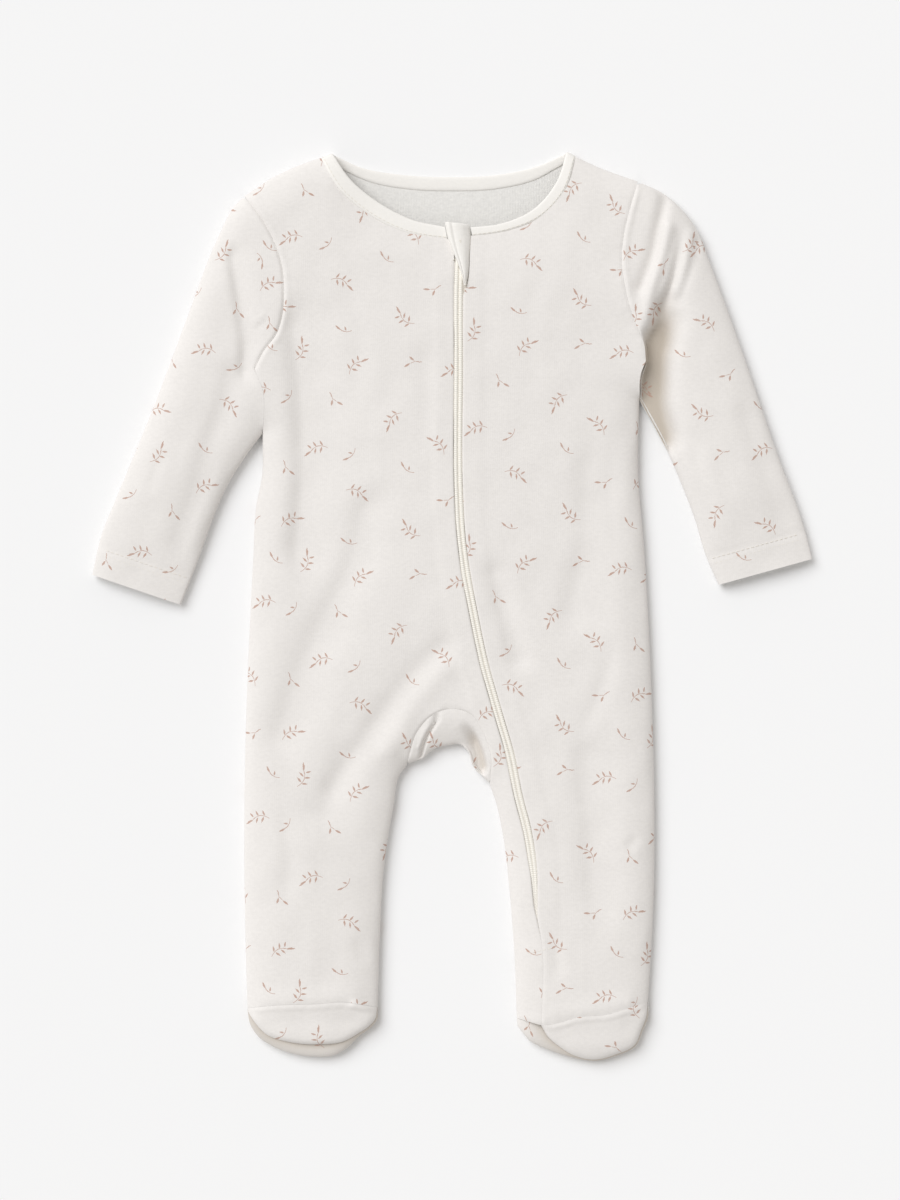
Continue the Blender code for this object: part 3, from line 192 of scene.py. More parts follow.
# The guard's section: fraction across, height over the panel at its top, and at its tip, mm
GUARD_SECTION = (
    (0.0, 0.3, -0.2), (0.02, 1.9, 0.9), (0.07, 3.3, 1.6), (0.14, 4.0, 2.0), (0.2, 3.9, 1.8), (0.26, 3.5, 1.5),
    (0.3, 3.4, 1.4), (0.36, 3.7, 1.5), (0.45, 3.8, 1.4), (0.58, 3.6, 1.2), (0.72, 3.0, 0.8),
    (0.84, 1.9, 0.4), (0.94, 0.8, 0.0), (1.0, -0.5, -0.6),
)
GUARD_WALL = 0.9
GUARD_ROWS = 26
GUARD_COLUMNS = 37

# Where the guard runs on over its top edge: shares, how far it runs for each, and how deep it tucks in
GUARD_TUCK = (-0.035, -0.03, -0.018, 0.0)
GUARD_TUCK_RUN = 36.0
GUARD_TUCK_DROP = 6.0

# A tape's section: distance from the zip's middle, and depth under the cloth's face
TAPE_SECTION = ((0.0, 1.1), (0.25, 0.95), (2.3, 0.95), (2.8, 1.75), (4.0, 1.75), (8.0, 1.75))

# Neck band: half thickness, how far it is pressed in at the seam and laps over it, inset of its stitches,
# the lowest that its middle lies, its thin edges, and how many rows its face is evened over on each side
BAND_HALF = 0.85
BAND_SUNK = 0.45
BAND_OVER = 0.5
STITCH_INSET = 0.17
BAND_LEAST = BAND_HALF * 1.15 + 0.1
BAND_THIN = 0.12
BAND_TAPER = (0.22, 0.16)
BAND_EVENED = 4
BAND_COLUMNS = {"right": 110, "left": 90, "rear": 130}
BAND_PROFILE = 22

# Broad folds: name, depth (+ is a ridge), half width on both sides or on the line's left and right,
# line, and in some the share of its length over which it deepens
FOLDS = (
    ("right side", -3.6, (24.0, 8.0), ((-94.0, 165.0), (-91.0, 139.0), (-89.0, 76.0), (-92.0, 35.0))),
    ("right flank", -2.6, (16.0, 9.0),
     ((-52.0, 57.0), (-61.0, 21.0), (-78.0, -12.0), (-90.0, -40.0), (-104.0, -78.0))),
    ("right groin", -1.9, (9.0, 7.0), ((-6.0, -24.0), (-22.0, -39.0), (-46.0, -70.0), (-71.0, -108.0))),
    ("groin ridge", 1.5, 7.0, ((-6.0, -37.0), (-22.0, -57.0), (-38.0, -85.5))),
    ("beside the zip", -2.0, 7.0, ((24.5, 18.5), (32.0, -4.5), (40.0, -30.0))),
    ("left belly", -1.9, (18.0, 9.0), ((81.0, 82.0), (78.0, 24.5), (71.5, -2.5))),
    ("left knee", -1.8, (14.0, 9.0), ((80.0, -92.0), (85.0, -176.0))),
    ("right knee", -1.5, 9.0, ((-66.0, -90.0), (-77.0, -122.0))),
    ("right arm", -1.5, (9.0, 7.0), ((-131.0, 139.0), (-144.0, 99.5), (-157.5, 58.0), (-164.0, 39.5))),
    ("right cap", -2.4, (7.5, 3.6),
     ((-131.5, 208.5), (-128.5, 190.0), (-126.0, 172.0), (-124.0, 156.0), (-125.0, 140.0))),
    ("left arm", -1.2, (12.0, 8.0), ((176.0, 113.0), (191.0, 68.0), (195.0, 53.0))),
    ("right ankle ridge", 0.8, 5.0, ((-112.0, -234.0), (-60.0, -232.5))),
    ("left ankle ridge", 0.8, 5.0, ((62.0, -243.0), (104.0, -236.0))),
    ("right instep", -0.9, 6.5, ((-110.0, -248.0), (-60.0, -247.0))),
    ("left instep", -0.8, 7.5, ((66.0, -256.0), (104.0, -251.0))),
    ("right ankle fold", 1.6, (2.2, 3.2), ((-58.0, -237.0), (-52.0, -240.0), (-47.5, -244.5))),
)
SLEEVE_FOLDS = (
    ("tuck at the seam", -2.8, (2.6, 4.0), ((127.2, 245.1), (123.0, 225.9), (119.4, 207.9), (112.6, 190.0))),
    ("pleat", 2.6, (3.4, 4.2),
     ((129.0, 225.9), (124.2, 207.9), (118.4, 189.9), (116.0, 177.0), (115.4, 168.0))),
    ("pleat's edge", -4.4, (4.5, 1.8), ((137.4, 227.1), (133.8, 207.9), (129.2, 190.5), (122.6, 177.9)), 0.8),
    ("arm valley", -16.0, (10.0, 6.5),
     ((133.0, 190.0), (128.0, 176.0), (122.5, 163.0), (119.0, 152.0), (118.2, 136.0), (117.6, 120.0),
      (121.5, 102.0)), 0.42),
    ("second pleat", 2.2, 3.2, ((142.8, 222.0), (139.0, 205.0), (133.4, 189.0))),
    ("outer tuck", -1.5, (3.0, 3.6),
     ((148.2, 230.0), (145.8, 220.9), (143.0, 207.9), (137.4, 191.0), (134.4, 183.0))),
)
GUSSET_FOLDS = (
    ("right crease", -2.6, (0.9, 1.4),
     ((-6.4, -62.8), (-11.4, -71.1), (-15.0, -77.1), (-17.4, -83.1), (-19.0, -90.0))),
    ("right lip", 0.8, 1.4, ((-9.4, -64.8), (-14.2, -71.6), (-18.0, -78.0), (-20.4, -84.0))),
    ("left hollow", -7.6, (1.9, 5.5),
     ((4.0, -68.5), (12.0, -76.6), (15.0, -83.0), (16.8, -88.0), (18.4, -95.0)), 0.55),
)

# How deep a hollow has to be, in mm, before a warmer, darker painted shade is mixed into its cloth's colour,
# and where that painted shade is full
PAINTED_SHADE_FROM = 1.0
PAINTED_SHADE_FULL = 13.0
# How strong the shade painted on a sole is at its toe seam, and over how many mm it fades
TOE_PAINTED_SHADE = 0.8
TOE_PAINTED_SHADE_FADE = 5.0

# Finer creases of the upper face: name, depth, half width, ridge beside it, line. Then the share of
# its length over which each fades, and where its ridge stands and how wide, in its own half widths.
CREASES = (
    ("armpit tuck", -0.7, 1.6, 0.5, ((-119.0, 166.0), (-109.0, 171.0))),
    ("chest, left of zip", -0.35, 5.0, 0.4, ((-20.0, 170.0), (-16.0, 120.0), (-22.0, 80.0))),
    ("chest, right", -0.4, 6.0, 0.3, ((-62.0, 190.0), (-56.0, 150.0), (-60.0, 110.0))),
    ("chest, left", -0.4, 6.0, 0.3, ((52.0, 205.0), (46.0, 160.0), (50.0, 120.0))),
    ("left ribs", -0.5, 5.0, 0.4, ((96.0, 110.0), (94.0, 60.0), (99.0, 20.0))),
    ("left hip", -0.6, 5.0, 0.4, ((98.0, -10.0), (88.0, -50.0), (72.0, -84.0))),
    ("right thigh", -0.5, 5.0, 0.3, ((-104.0, -110.0), (-98.0, -150.0), (-100.0, -190.0))),
    ("left calf", -0.6, 3.0, 0.4, ((111.0, -136.0), (103.0, -146.0))),
    ("right calf", -0.6, 4.0, 0.3, ((-58.0, -196.0), (-52.0, -214.0))),
    ("left inner shin", -0.5, 3.5, 0.4, ((60.0, -196.0), (64.0, -224.0))),
    ("right elbow", -0.5, 4.0, 0.4, ((-172.0, 96.0), (-184.0, 62.0))),
    ("left elbow", -0.5, 4.0, 0.4, ((140.0, 110.0), (150.0, 70.0), (158.0, 40.0))),
)
CREASE_FADE = 0.3
CREASE_RIDGE_OFF = 1.8
CREASE_RIDGE_HALF = 1.2

# Presses: name, reach, share of the rise kept, line
PRESSES = (
    ("right cuff", 60.0, 0.42, ((-216.0, 19.0), (-163.0, 1.0))),
    ("left cuff", 60.0, 0.42, ((159.0, 13.0), (215.0, 28.5))),
    ("neck edge", 34.0, 0.72, ((-44.0, 241.0), (-4.0, 226.5), (10.0, 226.5), (49.0, 238.0))),
)

# Slow undulations of the upper face: height, wavelength, heading in degrees, phase
UNDULATIONS = (
    (0.22, 74.0, 12.0, 0.3), (0.16, 52.0, 78.0, 2.1), (0.12, 37.0, 41.0, 4.0), (0.09, 29.0, 118.0, 1.2),
    (0.07, 21.0, 160.0, 5.1), (0.05, 15.0, 64.0, 3.3),
)

# Beside a seam: where its allowance and its puckers lie, and how wide they are
ALLOWANCE_OFF = 2.2
ALLOWANCE_HALF = 1.5
PUCKER_OFF = 2.4
PUCKER_HALF = 2.2

# The strip beside the zip: how softly it ends, where it stops and over what length, its edge's roll
FACING_SOFT = 5.0
FACING_END = -200.0
FACING_FADE = 12.0
EDGE_ROLL = 1.3
FINE_FADE = 6.0

# Section steps, from a folded edge, a seam and the zip's edge
FOLD_STEPS = (0.0, 0.12, 0.5, 1.2, 2.2, 3.6, 5.4, 7.6, 10.2, 13.0)
SEAM_STEPS = (0.0, 0.5, 1.0, 1.8, 2.8, 4.2, 6.0, 8.2, 10.6, 13.0)
ZIP_STEPS = (0.0, 0.12, 0.4, 0.8, 1.3, 2.2, 3.6, 5.4, 7.4, 9.2, 10.6, 12.0, 13.4, 15.0, 17.2)
UNDER_STEPS = (0.0, 0.3, 1.2, 3.0, 5.5, 8.0, 13.0)
TOE_STEPS = (0.0, 0.15, 0.4, 0.8, 1.4, 2.2, 3.2)
COLUMNS = {"body": 88, "leg": 66, "left": 76, "back": 56, "back leg": 29}
ROWS = {"yoke": 62, "slit": 18, "body": 82, "left body": 104, "crotch": 30, "shin": 78}
BACK_ROWS = {"yoke": 34, "slit": 8, "body": 40, "crotch": 14, "shin": 28}
GUSSET_COLUMNS = 110
GUSSET_ROWS = 30
GUSSET_CURVE = 1.2
SLEEVE_COLUMNS = 46
SLEEVE_UNDER_COLUMNS = 18
SLEEVE_ROWS = {"arm": 46, "slit": 16, "inner": 50, "hem": 10}
FOOT_ROWS = {"instep": 34, "sole": 22, "lip": 8}

# Widths and lengths that steps are spread over
YOKE_LENGTH = 120.0
SLEEVE_WIDTH = 52.0
LEG_WIDTH = 80.0
LEFT_FRONT_WIDTH = 95.0
LEFT_FOOT_WIDTH = 64.0
SHIN_RIGHT_LENGTH = 147.0
SHIN_LEFT_LENGTH = 140.0
INSTEP_LENGTH = 22.0

# Over the shoulder: the share of a yoke's columns, and where the first ones lie
SHOULDER_SHARE = 0.32
SHOULDER_FIRST = (0.0, 0.004, 0.012, 0.03)
SHOULDER_REST = 0.055

HEM = 16.5
HEM_DIP = 0.15
HEM_LIFT = 0.2
LIP_CURVE = 1.6
SOLE_LENGTH = 60.0
START_SHARE = 0.3
RIM_RISE = 3.4
RIM_REACH = 6.0
TOE_ROLL = 3.2
TOE_PROUD = 1.0
TOE_FADE = 8.0
CAP_FADE = 2.2
GUSSET_FADE = 1.8

# Stitches: lift over the cloth, rows of a cuff as shares of its hem, ends of the rows at the zip's foot,
# measured from its end, and at its top
STITCH_LIFT = 0.05
BAND_STITCH_LIFT = 0.1
CUFF_STITCH_LIFT = 0.12
TOP_STITCH_LIFT = 0.2
CUFF_STITCH_ROWS = (("upper", 1.0), ("lower", 0.8))
CUFF_STITCH_POINTS = np.linspace(0.04, 0.96, 60)
ZIP_END_DROP = 19.0
ZIP_END_STITCHES = ((-9.0, -1.0), (5.5, 2.2))
ZIP_TOP_STITCHES = ((-0.6, 206.2), (1.6, 207.6))

# Colours of the light: the even light from all round, and the large soft light
SKY_TINT = (1.0, 0.98, 0.955, 1.0)
SUN_TINT = (0.985, 1.0, 1.025)
CLIP_END = 20.0


# ---------------------------------------------------------------- settings

def hexed(code):
    """A colour written as sRGB hex, as linear values for a colour setting."""
    parts = [int(code[k:k + 2], 16) / 255 for k in (1, 3, 5)]
    return tuple(p / 12.92 if p <= 0.04045 else ((p + 0.055) / 1.055) ** 2.4 for p in parts)


def colour(name, description, code):
    """A colour setting."""
    return bpy.props.FloatVectorProperty(
        name=name, description=description, subtype="COLOR", size=3, min=0.0, max=1.0, default=hexed(code)
    )


def length(name, description, millimetres):
    """A length setting, kept in metres as Blender's own lengths are."""
    return bpy.props.FloatProperty(
        name=name, description=description, unit="LENGTH", precision=5, min=0.0, default=millimetres * MM
    )


class SleepsuitCloth(bpy.types.PropertyGroup):
    """Sizes and colours of the cloth."""
    wall: length("Wall", "Thickness of the cloth", 1.2)
    zip_roll: length("Zip roll", "Radius of the panels' folded edges beside the zip", 0.9)
    pucker: length("Puckers", "Height of the small waves beside a seam", 0.16)
    pucker_pitch: length("Pucker pitch", "Distance from one wave to the next", 7.5)
    pressed: length("Pressed strip", "How far the zip's facing lifts the cloth over it", 0.32)
    pressed_width: length("Strip width", "Width of the pressed strip on each side of the zip", 11.6)
    ground: colour("Ground", "Undyed cotton between the sprigs", "#EDE9E5")
    # Painted shade: the darker, warmer colour that the cotton is mixed towards in deep folds and under the
    # toe seams, standing in for shade
    painted_shade_colour: colour("Shaded", "Cotton deep in a hollow, where light comes off warm cloth only", "#C4BAAD")
    # The inner face is brushed and a little cooler than the ground; its colour is also set lighter than the
    # ground, as painted light that lifts the shade inside the neck opening
    back: colour("Back", "Brushed inner face of the cotton", "#EFEDE9")
    ink: colour("Ink", "Dusty brown of the printed sprigs", "#BD9A8A")
    rib: colour("Rib", "Plain cotton rib of the neck", "#F4F1EC")


class SleepsuitTrim(bpy.types.PropertyGroup):
    """Sizes and colours of the zip and the sewing."""
    stitch: length("Stitch", "Length of one stitch", 2.2)
    stitch_pitch: length("Stitch pitch", "Distance from one stitch to the next", 2.9)
    thread: length("Thread", "Thickness of the sewing thread", 0.32)
    thread_colour: colour("Thread", "Cotton-wrapped sewing thread", "#EFEAE0")
    coil_colour: colour("Coil", "Cream nylon of the zip's coil", "#F6F2E9")
    tape_colour: colour("Tape", "Woven tape under the coil", "#F0EBE2")
    plastic_colour: colour("Slider", "Moulded slider and pull", "#E9E4DA")


class SleepsuitStage(bpy.types.PropertyGroup):
    """Floor, light and camera."""
    floor_colour: colour("Floor", "Pale matt floor", "#F6F6F6")
    floor_size: length("Floor size", "Length of the floor's sides", 9000.0)
    sun_strength: bpy.props.FloatProperty(
        name="Sun", description="Strength of the large soft light", min=0.0, default=2.0)
    sun_size: bpy.props.FloatProperty(
        name="Sun size", description="How large the soft light looks from the floor", subtype="ANGLE",
        default=math.radians(44))
    sun_height: bpy.props.FloatProperty(
        name="Sun height", description="Angle of the light above the floor", subtype="ANGLE",
        default=math.radians(48))
    sun_heading: bpy.props.FloatProperty(
        name="Sun heading", description="Direction the light comes from, from +X towards +Y", subtype="ANGLE",
        default=math.radians(138))
    sky_strength: bpy.props.FloatProperty(
        name="Sky", description="Strength of the even light from all round", min=0.0, default=0.535)
    camera_height: length("Camera height", "Height of the camera over the floor", 2200.0)
    view_height: length("View height", "Length of floor that the view's long side shows", 720.0)
    view_x: bpy.props.FloatProperty(
        name="View X", description="Middle of the view, across", unit="LENGTH", default=-1.8 * MM)
    view_y: bpy.props.FloatProperty(
        name="View Y", description="Middle of the view, lengthwise", unit="LENGTH", default=3.9 * MM)


# ---------------------------------------------------------------- curves

def rounded(points, steps=8):
    """A smooth curve through the points, as a polyline."""
    p = np.array(points, float)
    chord = np.diff(p, axis=0)
    h = np.linalg.norm(chord, axis=1)[:, None]
    slope = chord / h
    middle = (slope[:-1] * h[1:] + slope[1:] * h[:-1]) / (h[:-1] + h[1:])
    tangent = np.vstack([slope[:1], middle, slope[-1:]])
    t = np.arange(steps)[:, None] / steps
    parts = []
    for i, span in enumerate(h):
        start, end = tangent[i] * span, tangent[i + 1] * span
        parts.append(
            (2 * t**3 - 3 * t**2 + 1) * p[i] + (t**3 - 2 * t**2 + t) * start
            + (3 * t**2 - 2 * t**3) * p[i + 1] + (t**3 - t**2) * end
        )
    return np.vstack(parts + [p[-1:]])


def joined(*lines):
    """Smooth curves end to end, with a corner where they meet."""
    curves = [rounded(line) for line in lines]
    return np.vstack([curves[0]] + [curve[1:] for curve in curves[1:]])


def run(line):
    """Distance along a polyline at each of its points."""
    return np.concatenate([[0.0], np.cumsum(np.linalg.norm(np.diff(line, axis=0), axis=1))])


def at(line, fraction):
    """Points at fractions of a polyline's length."""
    reach = run(line)
    where = np.asarray(fraction, float) * reach[-1]
    return np.stack([np.interp(where, reach, line[:, k]) for k in range(line.shape[1])], axis=-1)


def part_of(line, start, end, count=160):
    """The stretch of a polyline between two fractions of its length."""
    return at(line, np.linspace(start, end, count))


def level(line, y):
    """Fraction of a downward polyline's length at a height."""
    return np.interp(-y, -line[:, 1], run(line) / run(line)[-1])


def cut_at(line, *heights):
    """A downward polyline cut at heights, from the top down."""
    stops = [0.0] + [level(line, y) for y in heights] + [1.0]
    return [part_of(line, a, b) for a, b in zip(stops, stops[1:])]


def unit(rows):
    """Each row of an array, one long."""
    return rows / np.linalg.norm(rows, axis=1)[:, None]


def beside(line, gap):
    """A polyline moved sideways, to the left of its direction where gap is positive."""
    way = unit(np.gradient(line, axis=0))
    return line + np.reshape(gap, (-1, 1)) * np.stack([-way[:, 1], way[:, 0]], axis=1)


def follow(xy, line):
    """Each point's signed distance to a polyline (+ on its left), its nearest point, and the run to it."""
    a, b = line[:-1], line[1:]
    ab = b - a
    span = (ab * ab).sum(1)
    reach = run(line)
    gaps, nears, runs = [], [], []
    for start in range(0, len(xy), NEAR_CHUNK):
        p = xy[start:start + NEAR_CHUNK]
        t = np.clip(((p[:, None] - a) * ab).sum(2) / span, 0, 1)
        near = a + t[..., None] * ab
        gap = np.linalg.norm(p[:, None] - near, axis=2)
        best = gap.argmin(1)
        row = np.arange(len(p))
        near = near[row, best]
        out = p - near
        side = np.sign(ab[best, 0] * out[:, 1] - ab[best, 1] * out[:, 0])
        gaps.append(gap[row, best] * np.where(side == 0, 1, side))
        nears.append(near)
        runs.append(reach[best] + t[row, best] * np.sqrt(span[best]))
    return np.concatenate(gaps), np.concatenate(nears), np.concatenate(runs)


def distance(xy, line):
    """Distance from each point of a grid to a polyline."""
    return np.abs(follow(xy.reshape(-1, 2), line)[0]).reshape(xy.shape[:-1])


# ---------------------------------------------------------------- height fields

OUTLINES = [
    joined(SHOULDER_RIGHT, SLEEVE_OUT_RIGHT),
    joined(SHOULDER_LEFT, SLEEVE_OUT_LEFT),
    joined(SLIT_RIGHT, SIDE_RIGHT, FOOT_RIGHT, INNER_RIGHT[::-1], CROTCH, INNER_LEFT, FOOT_LEFT,
           SIDE_LEFT[::-1], SLIT_LEFT[::-1]),
    rounded(SLEEVE_IN_RIGHT),
    rounded(SLEEVE_IN_LEFT),
    rounded(NECK_BACK),
]
ZIP_ABOVE = cut_at(rounded(ZIP_LINE), -200.0)[0]

# The same seen from above: body and sleeve lie against each other along the slit under the arm
UPPER_OUTLINES = OUTLINES[:2] + [
    joined(SIDE_RIGHT, FOOT_RIGHT, INNER_RIGHT[::-1], CROTCH, INNER_LEFT, FOOT_LEFT, SIDE_LEFT[::-1]),
] + OUTLINES[3:]

# Seams of the upper face: line, dip, half width, ridge on its left (- for its right), share of the puckers
SEAMS = (
    (joined(ARMHOLE_RIGHT), 0.9, 0.9, 0.3, 0.5), (joined(ARMHOLE_LEFT), 0.4, 0.8, 0.55, 0.8),
    (rounded(NECK_SEAM_RIGHT), 0.1, 1.4, 0.0, 0.5), (rounded(NECK_SEAM_LEFT), 0.1, 1.4, 0.0, 0.5),
    (rounded(GUSSET_ARC), 0.6, 0.7, 0.0, 0.2), (rounded(ANKLE_RIGHT), 0.12, 0.8, -0.4, 0.3),
    (rounded(ANKLE_LEFT), 0.12, 0.8, -0.45, 0.3), (rounded(STRIP_END), 0.2, 0.8, 0.2, 0.2),
    (cut_at(rounded(ZIP_LINE), -190.0)[1], 0.08, 0.7, 0.15, 0.2),
)


def quarter(t):
    """A quarter circle: upright at 0 and level from 1 on."""
    return np.sqrt(1 - (1 - np.clip(t, 0, 1)) ** 2)


def ease(t):
    """A soft step from 0 to 1."""
    t = np.clip(t, 0, 1)
    return t * t * (3 - 2 * t)


def outline_distance(xy, lines=OUTLINES):
    """Distance of each point to the garment's outline."""
    return np.min([distance(xy, line) for line in lines], axis=0)


def relief(xy, rows):
    """Sum of the broad folds in a table.

    Two half widths make a fold steeper on one side of its line. A last number is the share of its
    length over which it deepens from its start.
    """
    flat = xy.reshape(-1, 2)
    total = np.zeros(len(flat))
    for _, depth, width, line, *grow in rows:
        curve = rounded(line)
        gap, near, along = follow(flat, curve)
        left, right = (width, width) if np.isscalar(width) else width
        way = unit(np.gradient(curve, axis=0))
        heading = [np.interp(along, run(curve), way[:, k]) for k in (0, 1)]
        out = flat - near
        side = (heading[0] * out[:, 1] - heading[1] * out[:, 0]) / np.maximum(np.abs(gap), TINY)
        half = right + (left - right) * ease(0.5 + 0.5 * side)
        share = ease(along / run(curve)[-1] / grow[0]) if grow else 1.0
        total += share * depth * np.exp(-((gap / half) ** 2))
    return total.reshape(xy.shape[:-1])


def creases(xy):
    """Finer creases: each a trough with a lower ridge on its left, fading out towards its ends."""
    flat = xy.reshape(-1, 2)
    total = np.zeros(len(flat))
    for _, depth, width, ridge, line in CREASES:
        curve = rounded(line)
        gap, _, along = follow(flat, curve)
        t = along / run(curve)[-1]
        fade = ease(t / CREASE_FADE) * ease((1 - t) / CREASE_FADE)
        beyond = np.exp(-((gap - CREASE_RIDGE_OFF * width) / (CREASE_RIDGE_HALF * width)) ** 2)
        total += fade * depth * (np.exp(-((gap / width) ** 2)) - ridge * beyond)
    return total.reshape(xy.shape[:-1])


def undulation(xy):
    """Slow waves of cloth that isn't stretched."""
    total = np.zeros(xy.shape[:-1])
    for height, wave, heading, phase in UNDULATIONS:
        angle = math.radians(heading)
        run_on = xy[..., 0] * math.cos(angle) + xy[..., 1] * math.sin(angle)
        across = xy[..., 0] * math.sin(angle) - xy[..., 1] * math.cos(angle)
        bend = 0.9 * np.sin(2 * np.pi * across / (2.3 * wave))
        total += height * np.sin(2 * np.pi * run_on / wave + phase + bend)
    return total


def sewn(xy):
    """The dip into each seam, the ridge of its allowance, and the small uneven waves beside it."""
    s = bpy.context.scene.sleepsuit_cloth
    height, pitch = s.pucker / MM, s.pucker_pitch / MM
    flat = xy.reshape(-1, 2)
    total = np.zeros(len(flat))
    for line, dip, half, ridge, share in SEAMS:
        gap, _, along = follow(flat, line)
        near = np.abs(gap)
        total -= dip * np.exp(-((near / half) ** 2))
        off = gap - math.copysign(ALLOWANCE_OFF, ridge)
        total += abs(ridge) * np.exp(-((off / ALLOWANCE_HALF) ** 2))
        wave = np.sin(2 * np.pi * along / pitch) + 0.6 * np.sin(2 * np.pi * along / (pitch * 1.7) + 1.0)
        total += share * height * wave * np.exp(-(((near - PUCKER_OFF) / PUCKER_HALF) ** 2))
    return total.reshape(xy.shape[:-1])


def zip_half(y):
    """Half the width between the panels' edges beside the zip, at heights y."""
    return np.interp(y, [row[0] for row in ZIP_HALF], [row[1] for row in ZIP_HALF])


def beside_zip(xy):
    """Distance of each point to the edges of the panels beside the zip."""
    gap, _, _ = follow(xy.reshape(-1, 2), ZIP_ABOVE)
    return np.maximum(np.abs(gap).reshape(xy.shape[:-1]) - zip_half(xy[..., 1]), 0.0)


def facing(xy):
    """The strip on each side of the zip that its facing lifts, with a rolled edge beside the coil."""
    s = bpy.context.scene.sleepsuit_cloth
    near = beside_zip(xy)
    wide, roll = s.pressed_width / MM, s.zip_roll / MM
    down = ease((xy[..., 1] - FACING_END) / FACING_FADE)
    lifted = s.pressed / MM * (1 - ease((near - wide + FACING_SOFT / 2) / FACING_SOFT))
    return (lifted - roll * (1 - quarter(near / (EDGE_ROLL * roll)))) * down


def loft(xy):
    """Height of the cloth's upper face without its creases and sewing."""
    d = outline_distance(xy, UPPER_OUTLINES)
    rise = ROLL_RISE * quarter(d / ROLL_REACH) + BODY_RISE * ease(d / BODY_REACH)
    for _, reach, keep, line in PRESSES:
        rise = rise * (keep + (1 - keep) * ease(distance(xy, np.array(line, float)) / reach))
    return FOLD_Z + rise + relief(xy, FOLDS) * ease(d / FOLD_FADE), d


def upper(xy):
    """Height of the cloth's upper face."""
    height, d = loft(xy)
    fine = undulation(xy) + creases(xy) + sewn(xy) + facing(xy)
    return height + fine * ease(d / FINE_FADE)


def under(xy):
    """Height of the cloth's lower face: level on the surface, turned up at the outline."""
    return FOLD_Z * (1 - quarter(outline_distance(xy) / UNDER_REACH))


def with_folds(rows, seam, fade):
    """The upper face with a piece's own folds, which die out at its seam and stay off the layer below."""
    def face(xy):
        """Height of the folded face."""
        near = distance(xy, seam)
        edge = outline_distance(xy, UPPER_OUTLINES)
        base = upper(xy)
        folded = base + relief(xy, rows) * ease(near / fade) * ease(edge / fade)
        return np.where(folded < base, np.maximum(folded, np.minimum(base, LEAST_HEIGHT)), folded)
    return face


# ---------------------------------------------------------------- lofts

def spaced(width, start, end, count):
    """Fractions across a width: steps from each side, and even steps between them, count in all."""
    first, last = start[-1] / width, 1 - end[-1] / width
    between = np.linspace(first, last, count - len(start) - len(end) + 2)[1:-1]
    return np.concatenate([np.array(start) / width, between, 1 - np.array(end)[::-1] / width])


def patch(top, bottom, left, right, u, v):
    """Points of a surface spanned by four edges, at fractions u across and v down."""
    left_at, right_at = at(left, v), at(right, v)
    corners = (
        (1 - u)[..., None] * ((1 - v)[..., None] * top[0] + v[..., None] * bottom[0])
        + u[..., None] * ((1 - v)[..., None] * top[-1] + v[..., None] * bottom[-1])
    )
    return (
        (1 - v)[..., None] * at(top, u) + v[..., None] * at(bottom, u)
        + (1 - u)[..., None] * left_at + u[..., None] * right_at - corners
    )


def block(left, right, u_top, u_bottom, v, top=None, bottom=None):
    """Rows of points between a left and a right edge, with straight ends unless given."""
    top = np.array([left[0], right[0]]) if top is None else top
    bottom = np.array([left[-1], right[-1]]) if bottom is None else bottom
    v = np.broadcast_to(np.reshape(v, (len(v), -1)), (len(v), len(u_top)))
    u = np.array(u_top) + (np.array(u_bottom) - u_top) * v
    return patch(top, bottom, left, right, u, v)


def painted_fold_shade_of(rows):
    """How far each point lies in a hollow of a table of folds, from 0 to 1: the share of painted shade there.
    """
    def depth(xy):
        """Depth of the hollow as a share, which sets how much shade is painted there."""
        return ease((-relief(xy, rows) - PAINTED_SHADE_FROM) / (PAINTED_SHADE_FULL - PAINTED_SHADE_FROM))
    return depth


def painted_shade_under(line):
    """How much shade is painted on each point under a seam that rolls over it, from 0 to 1."""
    def depth(xy):
        """Share of painted shade."""
        return TOE_PAINTED_SHADE * np.exp(-distance(xy, line) / TOE_PAINTED_SHADE_FADE)
    return depth


def lay(xy, face, sign, folds):
    """Gives points their heights; borders named in folds end at the outline's fold."""
    xyz = np.dstack([xy, face(xy)])
    border = np.zeros(xyz.shape[:2], bool)
    border[:, 0] |= "left" in folds
    border[:, -1] |= "right" in folds
    border[0] |= "top" in folds
    on_fold = border & (outline_distance(xy, UPPER_OUTLINES if sign > 0 else OUTLINES) < ON_FOLD)
    xyz[..., 2] = np.where(on_fold, FOLD_Z + sign * PARTED, xyz[..., 2])
    return xyz


def even(count):
    """Fractions from 0 to 1, in count steps."""
    return np.linspace(0, 1, count + 1)


# ---------------------------------------------------------------- the print

# Sprigs of one repeat on the body: kind, x and y of the middle, heading from base to tip in degrees, hand
SPRIG, TWIG, STEM = 0, 1, 2
REPEAT = (
    (SPRIG, -29.7, 172.3, 137, 1), (SPRIG, -89.8, 154.1, 75, -1), (SPRIG, -57.4, 145.2, 39, 1),
    (SPRIG, -37.1, 111.0, -129, -1), (SPRIG, -9.1, 97.6, 135, -1), (SPRIG, -82.9, 94.5, -160, -1),
    (SPRIG, -55.9, 68.1, -27, 1), (SPRIG, -96.1, 52.6, 20, 1), (TWIG, -24.0, 145.7, 180, 1),
    (TWIG, -70.8, 123.3, -60, 1), (TWIG, -4.2, 63.3, -152, -1), (TWIG, -99.1, 82.4, -69, 1),
    (STEM, -27.5, 82.8, 142, 1), (STEM, -65.5, 165.6, 164, 1), (STEM, -61.8, 90.4, -135, 1),
    (STEM, -99.2, 124.8, -128, 1), (STEM, -106.0, 29.0, 140, 1), (SPRIG, -117.0, 129.5, -166, -1),
)
REPEAT_ACROSS = (116.0, 11.5)
REPEAT_DOWN = (3.0, -126.6)
REPEAT_SPREAD = 5

